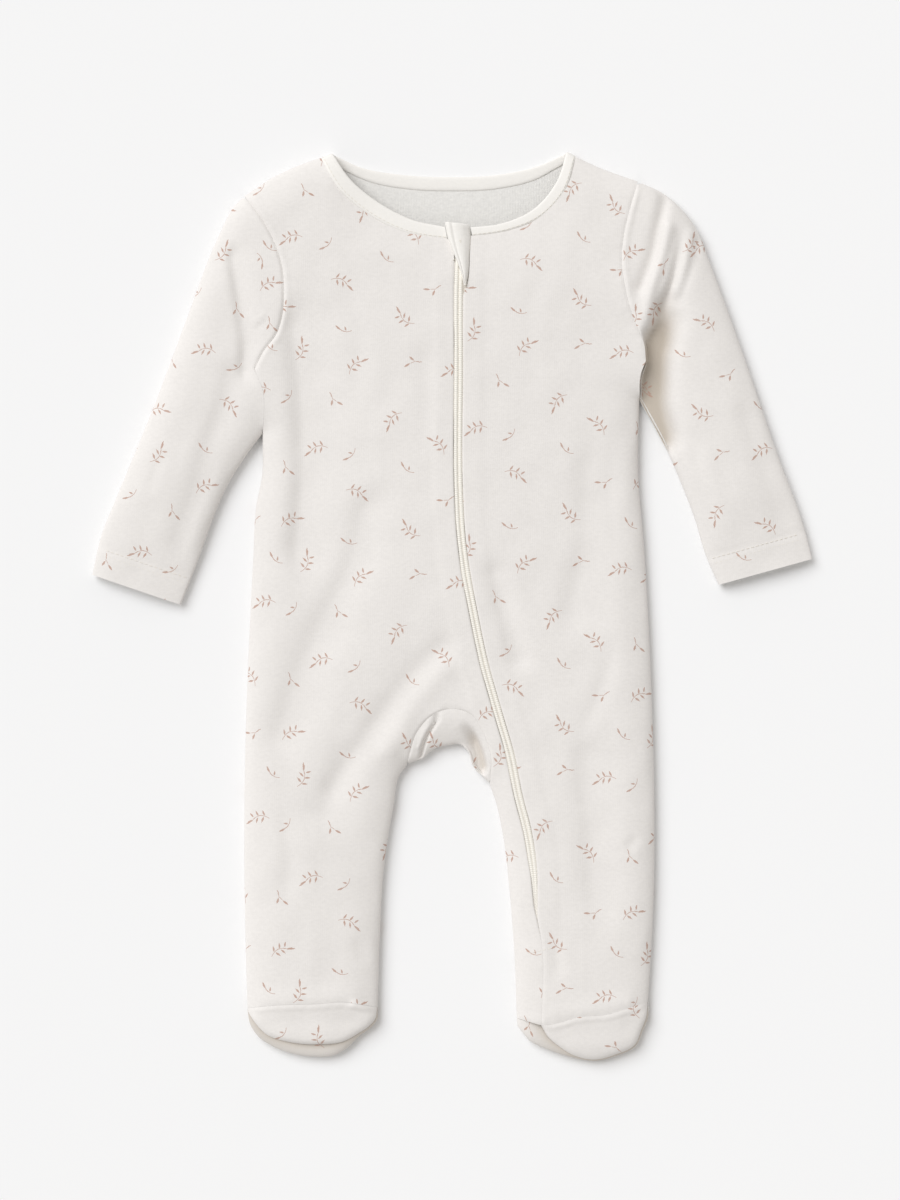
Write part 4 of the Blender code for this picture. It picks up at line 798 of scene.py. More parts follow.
# How the print lies on each piece: turn in degrees, a point of the body's print, and where that point goes
PRINT_LIES = {
    "right front": (0.0, (0.0, 0.0), (0.0, 0.0)),
    "left front": (0.0, (0.0, 0.0), (98.4, 10.8)),
    "right sleeve": (-19.0, (-89.8, 154.1), (-174.8, 91.4)),
    "left sleeve": (15.5, (-37.1, 111.0), (156.6, 54.3)),
    "back": (180.0, (-27.6, 174.0), (12.0, 120.0)),
    "gusset": (90.0, (-27.6, 174.0), (-40.0, -52.0)),
    "right foot": (64.0, (-55.2, 143.1), (-78.0, -256.0)),
    "left foot": (-38.0, (-55.2, 143.1), (70.0, -246.0)),
}

# Where the cloth lies aslant, and its print with it: y, and how far the sprigs there lie off, across and up
LEANS = {
    "right front": (
        (-240, -9, -4), (-205, -12, -3.5), (-160, -9, -3.3), (-100, -5, -1.5), (-50, 0, 0), (170, 0, 0),
        (195, -6, -1), (221, -12, -1), (250, -14, -2),
    ),
    "left front": (
        (-240, -17, -5), (-200, -17, -4.3), (-180, -16.5, -4), (-145, -15, -1), (-100, -14, -1),
        (-75, -10, -1), (-50, -8.5, -0.5), (-20, -8, -1.5), (30, -1, -3), (74, -4, 0), (108, -3, 1),
        (120, 0, 0), (150, 2, 0), (176, 6, 0), (224, 10, 0), (250, 12, 0),
    ),
}

# Sprigs that a fold or a seam hides, and sprigs that lie apart from the repeat: on each piece, in plan
FOLDED_AWAY = {
    "left front": ((97.0, 233.7),),
    "right sleeve": ((-112.8, 198.3),),
    "left sleeve": ((113.2, 240.3), (174.0, 140.2), (125.4, 213.0)),
}
APART = {
    "left front": ((SPRIG, 96.0, 239.0, 128, 1),),
    "right sleeve": ((STEM, -115.0, 206.0, -72, 1), (TWIG, -108.5, 168.0, -75, 1)),
    "left sleeve": (
        (SPRIG, 107.4, 212.0, 28, 1), (SPRIG, 109.0, 173.0, 72, -1), (SPRIG, 143.0, 217.0, 58, -1),
        (SPRIG, 114.8, 131.3, -33, 1), (TWIG, 125.7, 203.0, -122, 1),
    ),
}
HIDDEN_REACH = 6.5

# Leaves of each kind in its own frame: base along and to the left of its middle, heading, length, half width
LEAVES = {
    SPRIG: (
        (-5.3, -0.2, 80, 3.6, 0.5), (-1.5, 0.6, 74, 3.7, 0.52), (1.6, 0.4, 62, 3.4, 0.5),
        (-4.6, -0.7, -54, 4.1, 0.5), (-1.0, -0.1, -60, 4.0, 0.52), (2.6, -0.9, -18, 5.2, 0.58),
    ),
    TWIG: ((1.5, 0.65, 32, 4.6, 0.56), (-0.9, -0.8, -41, 4.0, 0.52), (-1.4, -0.55, 25, 3.6, 0.2)),
    STEM: ((1.3, 1.0, -24, 4.2, 0.56), (-2.0, 0.8, -59, 3.1, 0.46)),
}

# Each kind's stalk: where it starts and ends, its crest, how sharply it bends, and where
STALKS = {
    SPRIG: (-7.7, 3.4, 0.55, 0.085, -1.8),
    TWIG: (-5.5, -0.8, -0.1, 0.02, -5.5),
    STEM: (-5.3, 2.4, 1.3, 0.09, -0.9),
}
STALK_HALF = 0.23
LEAF_SPREAD = 1.12
LEAF_TAPER = 0.9
LEAF_TIP = 0.02
ROLL_SHARE = 0.5
PRINT_MARGIN = 30

# The ink's edge: how sharp it is, in each mm, where it starts, and how far it wanders, in mm
INK_SHARP = 5.0
INK_START = 0.35
INK_WANDER = 0.6
INK_WANDER_SCALE = 0.9

# Grain of the cloth, in turns to a metre: drift of the knit's columns (11 mm), fuzz (0.7 mm),
# nap (1.6 mm) and patches (70 mm); how far the columns drift, in metres, and how the nap is drawn out
DRIFT_SCALE = 90.0
FUZZ_SCALE = 1500.0
NAP_SCALE = 620.0
PATCH_SCALE = 14.0
DRIFT_REACH = (0.0012, 0.0012, 0.0012)
NAP_DRAWN = (0.6, 1.0, 1.0)

# Pitch of the tape's weave in mm, and turns of the floor's roller marks to a metre
WEAVE_PITCH = 0.9
ROLLER_SCALE = 700.0


def sprigs_for(piece):
    """Kinds, middles, headings and hands of the sprigs on a piece, over the garment and past it."""
    turn, source, target = PRINT_LIES[piece]
    c, s = math.cos(math.radians(turn)), math.sin(math.radians(turn))
    about = np.array([[c, s], [-s, c]])
    rows = np.array(REPEAT, float)
    moves = np.array([
        (i * REPEAT_ACROSS[0] + j * REPEAT_DOWN[0], i * REPEAT_ACROSS[1] + j * REPEAT_DOWN[1])
        for i in range(-REPEAT_SPREAD, REPEAT_SPREAD + 1) for j in range(-REPEAT_SPREAD, REPEAT_SPREAD + 1)
    ])
    middles = (rows[None, :, 1:3] + moves[:, None]).reshape(-1, 2)
    middles = (middles - source) @ about + target
    made = np.tile(rows, (len(moves), 1))
    leans = np.array(LEANS.get(piece, ((0, 0, 0), (1, 0, 0))), float)
    off = [np.interp(middles[:, 1], leans[:, 0], leans[:, k]) for k in (1, 2)]
    made[:, 1:3] = middles + np.stack(off, axis=1)
    made[:, 3] += turn
    for hidden in FOLDED_AWAY.get(piece, ()):
        made = made[np.linalg.norm(made[:, 1:3] - hidden, axis=1) > HIDDEN_REACH]
    made = np.vstack([made, *np.reshape(APART.get(piece, ()), (-1, 5))])
    return made[:, 0], made[:, 1:3], np.radians(made[:, 3]), made[:, 4]


def roll_extra(d):
    """How much further from the fold a point lies on the cloth than it does in plan."""
    steps = np.linspace(0, 1, 200)
    rise = ROLL_RISE * quarter(steps)
    plan = ROLL_REACH * steps
    arc = run(np.column_stack([plan, rise]))
    return ROLL_SHARE * np.interp(d, plan, (arc[-1] - arc) - (ROLL_REACH - plan), right=0.0)


def on_cloth(xy):
    """Points in plan moved outwards to where they lie on the cloth laid flat."""
    best, away = None, None
    for line in OUTLINES:
        gap, near, _ = follow(xy, line)
        gap = np.abs(gap)
        if best is None:
            best, away = gap, near
        else:
            closer = gap < best
            best = np.where(closer, gap, best)
            away = np.where(closer[:, None], near, away)
    out = (away - xy) / np.maximum(best, TINY)[:, None]
    return xy + out * roll_extra(best)[:, None]


def printed(mesh, piece, mirror=None):
    """Stores, on each corner of a mesh, its place in the frame of its face's nearest sprig, in mm.

    Faces that look down are read mirrored about the line given, so that the print runs round a fold.
    """
    count = len(mesh.vertices)
    points = np.empty(count * 3)
    mesh.vertices.foreach_get("co", points)
    plan = points.reshape(-1, 3)[:, :2] / MM
    flat = on_cloth(plan)
    turned = flat
    if mirror is not None:
        _, near, _ = follow(flat, mirror)
        turned = 2 * near - flat
    faces = len(mesh.polygons)
    normals = np.empty(faces * 3)
    mesh.polygons.foreach_get("normal", normals)
    down = normals.reshape(-1, 3)[:, 2] < 0
    corners = np.empty(len(mesh.loops), int)
    mesh.loops.foreach_get("vertex_index", corners)
    totals = np.empty(faces, int)
    mesh.polygons.foreach_get("loop_total", totals)
    owner = np.repeat(np.arange(faces), totals)
    place = np.where(down[owner][:, None], turned[corners], flat[corners])
    middle = np.stack([np.bincount(owner, place[:, k], faces) / totals for k in range(2)], axis=1)
    kinds, middles, headings, hands = sprigs_for(piece)
    low, high = middle.min(0) - PRINT_MARGIN, middle.max(0) + PRINT_MARGIN
    inside = ((middles > low) & (middles < high)).all(1)
    kinds, middles, headings, hands = kinds[inside], middles[inside], headings[inside], hands[inside]
    nearest = np.concatenate([
        np.linalg.norm(middle[k:k + NEAR_CHUNK, None] - middles, axis=2).argmin(1)
        for k in range(0, faces, NEAR_CHUNK)
    ])[owner]
    offset = place - middles[nearest]
    c, s = np.cos(headings[nearest]), np.sin(headings[nearest])
    local = np.column_stack([
        offset[:, 0] * c + offset[:, 1] * s, (offset[:, 1] * c - offset[:, 0] * s) * hands[nearest],
        kinds[nearest],
    ])
    layer = mesh.attributes.new("sprig", "FLOAT_VECTOR", "CORNER")
    layer.data.foreach_set("vector", local.ravel())
    uv = mesh.uv_layers.new(name="flat")
    uv.data.foreach_set("uv", (place * MM).ravel())


# ---------------------------------------------------------------- materials

def node(tree, kind, settings=None, links=None, **inputs):
    """Adds a node with its settings, its input values and its input links."""
    made = tree.nodes.new(kind)
    for key, value in (settings or {}).items():
        setattr(made, key, value)
    for key, value in inputs.items():
        socket = made.inputs[int(key[1:])] if key[1:].isdigit() else made.inputs[key.replace("_", " ")]
        socket.default_value = value
    for key, source in (links or {}).items():
        tree.links.new(source, made.inputs[key])
    return made


def value_of(tree, operation, *parts, clamp=False):
    """A Math node over numbers and sockets; returns its output."""
    made = node(tree, "ShaderNodeMath", {"operation": operation, "use_clamp": clamp})
    for k, part in enumerate(parts):
        if isinstance(part, (int, float)):
            made.inputs[k].default_value = part
        else:
            tree.links.new(part, made.inputs[k])
    return made.outputs[0]


def blended(tree, factor, first, second):
    """A colour mix; colours are tuples or sockets."""
    made = node(tree, "ShaderNodeMix", {"data_type": "RGBA"})
    for key, part in ((0, factor), (6, first), (7, second)):
        if isinstance(part, tuple):
            made.inputs[key].default_value = (*part, 1.0)
        elif isinstance(part, (int, float)):
            made.inputs[key].default_value = part
        else:
            tree.links.new(part, made.inputs[key])
    return made.outputs[2]


def new_material(name, roughness, **sockets):
    """A material with its Principled shader, whose constant sockets are set directly."""
    made = bpy.data.materials.new(name)
    made.use_nodes = True
    shader = made.node_tree.nodes["Principled BSDF"]
    shader.inputs["Roughness"].default_value = roughness
    for key, number in sockets.items():
        shader.inputs[key.replace("_", " ")].default_value = number
    return made, made.node_tree, shader


def leaf_group():
    """A leaf's mask, from a point and the leaf's base, heading, length and half width."""
    found = bpy.data.node_groups.get("leaf mask")
    if found:
        return found
    tree = bpy.data.node_groups.new("leaf mask", "ShaderNodeTree")
    for name in ("Along", "Across", "Base along", "Base across", "Cosine", "Sine", "Length", "Half width"):
        tree.interface.new_socket(name, in_out="INPUT", socket_type="NodeSocketFloat")
    tree.interface.new_socket("Mask", in_out="OUTPUT", socket_type="NodeSocketFloat")
    start = tree.nodes.new("NodeGroupInput").outputs
    end = tree.nodes.new("NodeGroupOutput")
    x = value_of(tree, "SUBTRACT", start[0], start[2])
    y = value_of(tree, "SUBTRACT", start[1], start[3])
    on = value_of(tree, "MULTIPLY_ADD", x, start[4], value_of(tree, "MULTIPLY", y, start[5]))
    cross = value_of(tree, "MULTIPLY", x, start[5])
    off = value_of(tree, "SUBTRACT", value_of(tree, "MULTIPLY", y, start[4]), cross)
    t = value_of(tree, "DIVIDE", on, start[6], clamp=True)
    turned = value_of(tree, "MULTIPLY", value_of(tree, "POWER", t, LEAF_TAPER), math.pi)
    bulge = value_of(tree, "SINE", turned)
    edge = value_of(tree, "MULTIPLY", bulge, value_of(tree, "MULTIPLY", start[7], LEAF_SPREAD))
    inside = value_of(tree, "SUBTRACT", edge, value_of(tree, "ABSOLUTE", off))
    soft = value_of(tree, "MULTIPLY_ADD", inside, INK_SHARP, INK_START, clamp=True)
    lit = value_of(tree, "MULTIPLY", soft, value_of(tree, "GREATER_THAN", bulge, LEAF_TIP))
    tree.links.new(lit, end.inputs[0])
    return tree


def sprig_mask(tree):
    """Where the cloth carries ink, from the corners' places in their sprigs' frames."""
    place = node(tree, "ShaderNodeAttribute", {"attribute_name": "sprig"})
    parts = node(tree, "ShaderNodeSeparateXYZ", links={0: place.outputs["Vector"]}).outputs
    wander = node(tree, "ShaderNodeTexNoise", {"noise_dimensions": "2D"}, {"Vector": place.outputs["Vector"]},
                  Scale=INK_WANDER_SCALE, Detail=1.0)
    shake = value_of(tree, "MULTIPLY_ADD", wander.outputs[0], INK_WANDER, -INK_WANDER / 2)
    along, across = value_of(tree, "ADD", parts[0], shake), value_of(tree, "ADD", parts[1], shake)
    total = None
    for kind, leaves in LEAVES.items():
        low, high, crest, bend, middle = STALKS[kind]
        off = value_of(tree, "SUBTRACT", along, middle)
        bent = value_of(tree, "MULTIPLY", value_of(tree, "MULTIPLY", off, off), bend)
        lateral = value_of(tree, "ADD", across, value_of(tree, "SUBTRACT", bent, crest))
        masks = []
        for base, side, heading, size, half in leaves:
            leaf = node(tree, "ShaderNodeGroup", {"node_tree": leaf_group()}, {0: along, 1: across})
            angle = math.radians(heading)
            numbers = (base, side, math.cos(angle), math.sin(angle), size, half)
            for k, number in enumerate(numbers, 2):
                leaf.inputs[k].default_value = number
            masks.append(leaf.outputs[0])
        line = value_of(tree, "SUBTRACT", STALK_HALF, value_of(tree, "ABSOLUTE", lateral))
        stalk = value_of(tree, "MULTIPLY_ADD", line, INK_SHARP, INK_START, clamp=True)
        stalk = value_of(tree, "MULTIPLY", stalk, value_of(tree, "GREATER_THAN", along, low))
        masks.append(value_of(tree, "MULTIPLY", stalk, value_of(tree, "LESS_THAN", along, high)))
        merged = masks[0]
        for other in masks[1:]:
            merged = value_of(tree, "MAXIMUM", merged, other)
        chosen = value_of(tree, "COMPARE", parts[2], float(kind), 0.4)
        merged = value_of(tree, "MULTIPLY", merged, chosen)
        total = merged if total is None else value_of(tree, "MAXIMUM", total, merged)
    return total


def wave_scale(pitch):
    """The scale at which a wave texture has one band to a pitch in mm; it turns 20 radians to a unit."""
    return 2 * math.pi / (20 * pitch * MM)


def knit_bump(tree, shader, pitch, strength, depth):
    """Fine uneven columns of knit under a brushed nap, as a bump; returns the grain and the place."""
    place = node(tree, "ShaderNodeTexCoord").outputs["Object"]
    bend = node(tree, "ShaderNodeTexNoise", links={"Vector": place}, Scale=DRIFT_SCALE, Detail=2.0)
    moved = node(tree, "ShaderNodeVectorMath", {"operation": "MULTIPLY_ADD"},
                 {0: bend.outputs["Color"], 2: place}, _1=DRIFT_REACH)
    columns = node(tree, "ShaderNodeTexWave", {"bands_direction": "X"}, {"Vector": moved.outputs[0]},
                   Scale=wave_scale(pitch), Distortion=1.2, Detail=2.0, Detail_Scale=2.0)
    drawn = node(tree, "ShaderNodeVectorMath", {"operation": "MULTIPLY"}, {0: place}, _1=NAP_DRAWN)
    fuzz = node(tree, "ShaderNodeTexNoise", links={"Vector": drawn.outputs[0]}, Scale=FUZZ_SCALE, Detail=3.0,
                Roughness=0.75)
    nap = node(tree, "ShaderNodeTexNoise", links={"Vector": drawn.outputs[0]}, Scale=NAP_SCALE, Detail=3.0)
    height = value_of(tree, "MULTIPLY_ADD", columns.outputs["Fac"], 0.3, fuzz.outputs[0])
    height = value_of(tree, "MULTIPLY_ADD", nap.outputs[0], 1.1, height)
    bump = node(tree, "ShaderNodeBump", links={"Height": height}, Strength=strength, Distance=depth * MM)
    tree.links.new(bump.outputs[0], shader.inputs["Normal"])
    fine = value_of(tree, "MULTIPLY", fuzz.outputs[0], 0.4)
    return value_of(tree, "MULTIPLY_ADD", nap.outputs[0], 0.6, fine), place


def mottled(tree, place, grain, tone, amount):
    """A colour that varies a little from thread to thread, and over a hand's breadth."""
    patchy = node(tree, "ShaderNodeTexNoise", links={"Vector": place}, Scale=PATCH_SCALE, Detail=3.0)
    streak = node(tree, "ShaderNodeMapRange", links={"Value": grain}, From_Min=0.36, From_Max=0.64)
    dark = tuple(c * (1 - amount) for c in tone)
    darker = tuple(c * (1 - 2.2 * amount) for c in tone)
    broad = blended(tree, patchy.outputs[0], dark, tone)
    return blended(tree, streak.outputs[0], darker, broad)


def printed_cotton():
    """Brushed cotton interlock, printed: matt and soft, with dusty brown sprigs that sink into the nap, and a
    painted shade mixed into its colour where its folds are deep and under the toe seams.
    """
    s = bpy.context.scene.sleepsuit_cloth
    made, tree, shader = new_material(
        "cotton interlock, brushed and printed", 0.92, Sheen_Weight=0.18, Sheen_Roughness=0.5,
        Specular_IOR_Level=0.25, IOR=1.5)
    nap, place = knit_bump(tree, shader, 1.1, 0.5, 0.16)
    open_cloth = mottled(tree, place, nap, tuple(s.ground), 0.03)
    # Painted shade: the cloth's colour is mixed towards the painted shade colour by the share of shade stored
    # on the mesh
    hollow = node(tree, "ShaderNodeAttribute", {"attribute_name": "hollow"}).outputs["Fac"]
    ground = blended(tree, hollow, open_cloth, tuple(s.painted_shade_colour))
    mask = sprig_mask(tree)
    worn = value_of(tree, "MULTIPLY_ADD", nap, 0.6, 0.55, clamp=True)
    inked = value_of(tree, "MULTIPLY", mask, worn)
    tree.links.new(blended(tree, inked, ground, tuple(s.ink)), shader.inputs["Base Color"])
    return made


def brushed_back():
    """The cotton's inner face: brushed, a little cooler and fuzzier, with no print; its colour is also set
    light, as painted light that lifts the shade inside the neck opening.
    """
    s = bpy.context.scene.sleepsuit_cloth
    made, tree, shader = new_material(
        "cotton interlock, brushed inner face", 0.96, Sheen_Weight=0.3, Sheen_Roughness=0.6,
        Specular_IOR_Level=0.2, IOR=1.5)
    nap, place = knit_bump(tree, shader, 1.6, 0.7, 0.24)
    tree.links.new(mottled(tree, place, nap, tuple(s.back), 0.05), shader.inputs["Base Color"])
    return made


def plain_rib():
    """Plain cotton rib: fine upright ribs, slightly lighter than the ground of the print."""
    s = bpy.context.scene.sleepsuit_cloth
    made, tree, shader = new_material(
        "cotton rib, plain", 0.9, Sheen_Weight=0.15, Sheen_Roughness=0.5, Specular_IOR_Level=0.25, IOR=1.5)
    nap, place = knit_bump(tree, shader, 1.0, 0.45, 0.14)
    tree.links.new(mottled(tree, place, nap, tuple(s.rib), 0.02), shader.inputs["Base Color"])
    return made


def plastic_like(name, tone, roughness, grain, depth):
    """A smooth-moulded or drawn plastic with a fine uneven skin."""
    made, tree, shader = new_material(name, roughness, IOR=1.48)
    place = node(tree, "ShaderNodeTexCoord").outputs["Object"]
    skin = node(tree, "ShaderNodeTexNoise", links={"Vector": place}, Scale=1.0 / (grain * MM), Detail=3.0)
    bump = node(tree, "ShaderNodeBump", links={"Height": skin.outputs[0]}, Strength=0.4, Distance=depth * MM)
    tree.links.new(bump.outputs[0], shader.inputs["Normal"])
    dark = tuple(c * 0.93 for c in tone)
    tree.links.new(blended(tree, skin.outputs[0], dark, tuple(tone)), shader.inputs["Base Color"])
    return made


def coil_nylon():
    """Nylon monofilament, drawn and coiled: cream, with a soft gloss on each turn."""
    s = bpy.context.scene.sleepsuit_trim
    return plastic_like("nylon monofilament, coiled", s.coil_colour, 0.42, 0.8, 0.02)


def moulded_acetal():
    """Acetal, injection moulded: pale, slightly waxy, with a fine even skin."""
    return plastic_like("acetal, moulded", bpy.context.scene.sleepsuit_trim.plastic_colour, 0.38, 1.2, 0.03)


def sewing_thread():
    """Spun cotton thread: matt, a little fuzzy, in the cloth's own ivory."""
    return plastic_like("cotton thread, spun", bpy.context.scene.sleepsuit_trim.thread_colour, 0.9, 0.3, 0.05)


def zip_tape():
    """Polyester tape, woven: flat and matt, with a fine slanting weave."""
    s = bpy.context.scene.sleepsuit_trim
    made, tree, shader = new_material("polyester tape, woven", 0.78, Sheen_Weight=0.1, IOR=1.5)
    place = node(tree, "ShaderNodeTexCoord").outputs["Object"]
    weave = node(tree, "ShaderNodeTexWave", {"bands_direction": "DIAGONAL"}, {"Vector": place},
                 Scale=wave_scale(WEAVE_PITCH), Distortion=0.6)
    height = {"Height": weave.outputs["Fac"]}
    bump = node(tree, "ShaderNodeBump", links=height, Strength=0.5, Distance=0.1 * MM)
    tree.links.new(bump.outputs[0], shader.inputs["Normal"])
    dark = tuple(c * 0.9 for c in s.tape_colour)
    colour_of = blended(tree, weave.outputs["Fac"], dark, tuple(s.tape_colour))
    tree.links.new(colour_of, shader.inputs["Base Color"])
    return made


def matt_floor():
    """Painted board: matt and very pale, with a faint roller texture."""
    s = bpy.context.scene.sleepsuit_stage
    made, tree, shader = new_material("painted board, rolled", 0.95, Specular_IOR_Level=0.1, IOR=1.5)
    place = node(tree, "ShaderNodeTexCoord").outputs["Object"]
    rolled = node(tree, "ShaderNodeTexNoise", links={"Vector": place}, Scale=ROLLER_SCALE, Detail=2.0)
    bump = node(tree, "ShaderNodeBump", links={"Height": rolled.outputs[0]}, Strength=0.05, Distance=0.1 * MM)
    tree.links.new(bump.outputs[0], shader.inputs["Normal"])
    dark = tuple(c * 0.995 for c in s.floor_colour)
    tree.links.new(blended(tree, rolled.outputs[0], dark, tuple(s.floor_colour)), shader.inputs["Base Color"])
    return made


def finish_of(maker):
    """The material that a function makes, made once."""
    key = "made by " + maker.__name__
    for found in bpy.data.materials:
        if found.get("maker") == key:
            return found
    made = maker()
    made["maker"] = key
    return made


# ---------------------------------------------------------------- meshes

def add_mesh(name, points, faces, finishes):
    """Puts a mesh in the scene, its points in millimetres, with doubles merged."""
    mesh = bpy.data.meshes.new(name)
    mesh.from_pydata((np.asarray(points) * MM).tolist(), [], faces)
    shape = bmesh.new()
    shape.from_mesh(mesh)
    bmesh.ops.remove_doubles(shape, verts=shape.verts, dist=0.02 * MM)
    shape.to_mesh(mesh)
    shape.free()
    for finish in finishes:
        mesh.materials.append(finish_of(finish))
    made = bpy.data.objects.new(name, mesh)
    bpy.context.scene.collection.objects.link(made)
    return made


def grid_faces(start, rows, columns, ring=False):
    """Faces of a grid whose points start at an index."""
    index = start + np.arange(rows * columns).reshape(rows, columns)
    right = np.roll(index, -1, axis=1)
    last = columns if ring else columns - 1
    quads = np.stack([index[:-1, :last], index[1:, :last], right[1:, :last], right[:-1, :last]], axis=-1)
    return quads.reshape(-1, 4).tolist()


def deselect():
    """Deselects every object."""
    for other in bpy.context.selected_objects:
        other.select_set(False)


def choose(made):
    """Makes an object the only one selected, and active."""
    deselect()
    made.select_set(True)
    bpy.context.view_layer.objects.active = made


def apply_all(made):
    """Applies an object's modifiers in order."""
    choose(made)
    for step in list(made.modifiers):
        bpy.ops.object.modifier_apply(modifier=step.name)


def smooth(made, degrees=60):
    """Rounded shading, but for sharp edges."""
    choose(made)
    bpy.ops.object.shade_smooth_by_angle(angle=math.radians(degrees))


def cloth_piece(name, blocks, piece, nodes, finishes=(printed_cotton, brushed_back), wall=None,
                mirror=None, hollow=None):
    """A piece of cloth: its outer face with its print and the shade painted into its hollows, given a wall
    inwards.
    """
    points, faces = [], []
    start = 0
    for rows in blocks:
        count, columns = rows.shape[:2]
        faces += grid_faces(start, count, columns)
        points.append(rows.reshape(-1, 3))
        start += count * columns
    made = add_mesh(name, np.concatenate(points), faces, finishes)
    made.data.update()
    if piece:
        printed(made.data, piece, mirror)
    if hollow:
        # The share of shade painted on each point, which the cotton's material reads
        spots = np.array([corner.co for corner in made.data.vertices])[:, :2] / MM
        shade = made.data.attributes.new("hollow", "FLOAT", "POINT")
        shade.data.foreach_set("value", hollow(spots))
    thick = made.modifiers.new("wall", "SOLIDIFY")
    thick.thickness = bpy.context.scene.sleepsuit_cloth.wall if wall is None else wall * MM
    thick.offset = -1.0
    thick.use_rim = True
    thick.material_offset = len(finishes) - 1
    thick.material_offset_rim = 0
    apply_all(made)
    smooth(made, 75)
    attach(made, BODY)
    if nodes:
        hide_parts(*nodes)
    return made


# ---------------------------------------------------------------- panel edges

def zip_edge(side, flare, start_y):
    """The front panel's edge beside the zip: side is -1 for the right front, +1 for the left."""
    line = rounded(ZIP_LINE, 16)
    moved = beside(line, side * zip_half(line[:, 1]))
    return np.vstack([rounded(flare), moved[moved[:, 1] < start_y]])


def body_edges():
    """The edges that the front and back panels share, each moved half a seam gap inwards."""
    gap = SEAM_GAP / 2
    arm = {"right": beside(joined(ARMHOLE_RIGHT), gap), "left": beside(joined(ARMHOLE_LEFT), -gap)}
    slit = {"right": beside(joined(SLIT_RIGHT), gap), "left": beside(joined(SLIT_LEFT), -gap)}
    side = {"right": beside(joined(SIDE_RIGHT), gap), "left": beside(joined(SIDE_LEFT), -gap)}
    for name in ("right", "left"):
        slit[name][0] = arm[name][-1]
        slit[name][-1] = side[name][0]
    return arm, slit, side


ARM, SLIT, SIDE = body_edges()
ARC = beside(rounded(GUSSET_ARC, 16), SEAM_GAP / 2)
ARC_TOP = (run(ARC) / run(ARC)[-1])[ARC[:, 1].argmax()]
CROTCH_RIGHT = part_of(ARC, ARC_TOP, 0)
CROTCH_LEFT = part_of(ARC, ARC_TOP, 1)
ARC_APEX = CROTCH_RIGHT[0]


def shoulder(points, arm, neck):
    """The folded shoulder, from the armhole to the neck seam."""
    line = rounded(points[::-1])
    inside = (np.abs(line[:, 0]) < abs(arm[0][0])) & (np.abs(line[:, 0]) > abs(neck[0]))
    return np.vstack([arm[:1], line[inside], [neck]])


def yoke_top(shoulder_line, neck, count):
    """A front panel's top edge and its fractions, from the armhole over the shoulder to the zip."""
    top = np.vstack([shoulder_line, neck[1:]])
    corner = run(shoulder_line)[-1] / run(top)[-1]
    over = max(int(count * SHOULDER_SHARE), 6)
    shares = np.concatenate([SHOULDER_FIRST, np.linspace(SHOULDER_REST, 1, over - len(SHOULDER_FIRST))])
    return top, np.concatenate([shares * corner, corner + (1 - corner) * even(count - over)[1:]])


def yoke_rows(count):
    """Row fractions of a yoke, close together under the shoulder's fold."""
    return spaced(YOKE_LENGTH, FOLD_STEPS, (0.0,), count)


# ---------------------------------------------------------------- panels

def front_right_blocks():
    """Right half of the chest, the right leg's front and the strip beside the zip."""
    slit, side, arm = SLIT["right"], SIDE["right"], ARM["right"]
    yoke_edge, slit_edge, body_edge, crotch_edge, shin_edge = cut_at(
        zip_edge(-1, FLARE_RIGHT, FLARE_RIGHT[-1][1]), slit[0][1], slit[-1][1], ARC_APEX[1], GUSSET_ARC[-1][1]
    )
    side_body, side_crotch, side_shin, _ = cut_at(
        side, ARC_APEX[1], GUSSET_ARC[0][1], ANKLE_RIGHT[0][1] + SEAM_GAP / 2
    )
    neck = beside(rounded(NECK_SEAM_RIGHT), -SEAM_GAP / 2)
    neck[-1] = yoke_edge[0]
    top, top_u = yoke_top(shoulder(SHOULDER_RIGHT, arm, neck[0]), neck, COLUMNS["body"])
    leg_width = ARC_APEX[0] - side_body[-1][0]
    strip_width = body_edge[-1][0] - ARC_APEX[0]
    full = leg_width + strip_width
    strip_count = COLUMNS["body"] - COLUMNS["leg"] + 1
    body_u = spaced(full, FOLD_STEPS, ZIP_STEPS, COLUMNS["body"])
    leg_u = spaced(leg_width, FOLD_STEPS, SEAM_STEPS[:6], COLUMNS["leg"])
    strip_u = spaced(strip_width, SEAM_STEPS[:6], ZIP_STEPS[:10], strip_count)
    end_u = spaced(strip_width, FOLD_STEPS[:7], ZIP_STEPS[:8], strip_count)
    apex_u = np.concatenate([leg_u[:-1] * leg_width, leg_width + strip_u * strip_width]) / full
    ankle_u = spaced(LEG_WIDTH, FOLD_STEPS, FOLD_STEPS, COLUMNS["leg"])
    ankle = beside(rounded(ANKLE_RIGHT), SEAM_GAP / 2)
    strip_end = beside(rounded(STRIP_END), SEAM_GAP / 2)
    inner_right = cut_at(rounded(INNER_RIGHT), ankle[-1][1])[0]
    shin_inner = np.vstack([CROTCH_RIGHT[-1:], inner_right[1:]])
    strip_inner = np.vstack([CROTCH_LEFT[-1:], cut_at(rounded(INNER_LEFT), strip_end[0][1])[0][1:]])
    shin_v = spaced(SHIN_RIGHT_LENGTH, (0.0,), SEAM_STEPS, ROWS["shin"])
    return [
        lay(block(arm, yoke_edge, top_u, body_u, yoke_rows(ROWS["yoke"]), top=top), upper, 1, "left top"),
        lay(block(slit, slit_edge, body_u, body_u, even(ROWS["slit"])), upper, 1, "left"),
        lay(block(side_body, body_edge, body_u, apex_u, even(ROWS["body"])), upper, 1, "left"),
        lay(block(side_crotch, CROTCH_RIGHT, leg_u, ankle_u, even(ROWS["crotch"])), upper, 1, "left right"),
        lay(block(side_shin, shin_inner, ankle_u, ankle_u, shin_v, bottom=ankle), upper, 1, "left right"),
        lay(block(CROTCH_LEFT, crotch_edge, strip_u, end_u, even(ROWS["crotch"])), upper, 1, "left"),
        lay(block(strip_inner, shin_edge, end_u, end_u, shin_v, bottom=strip_end), upper, 1, "left"),
    ]


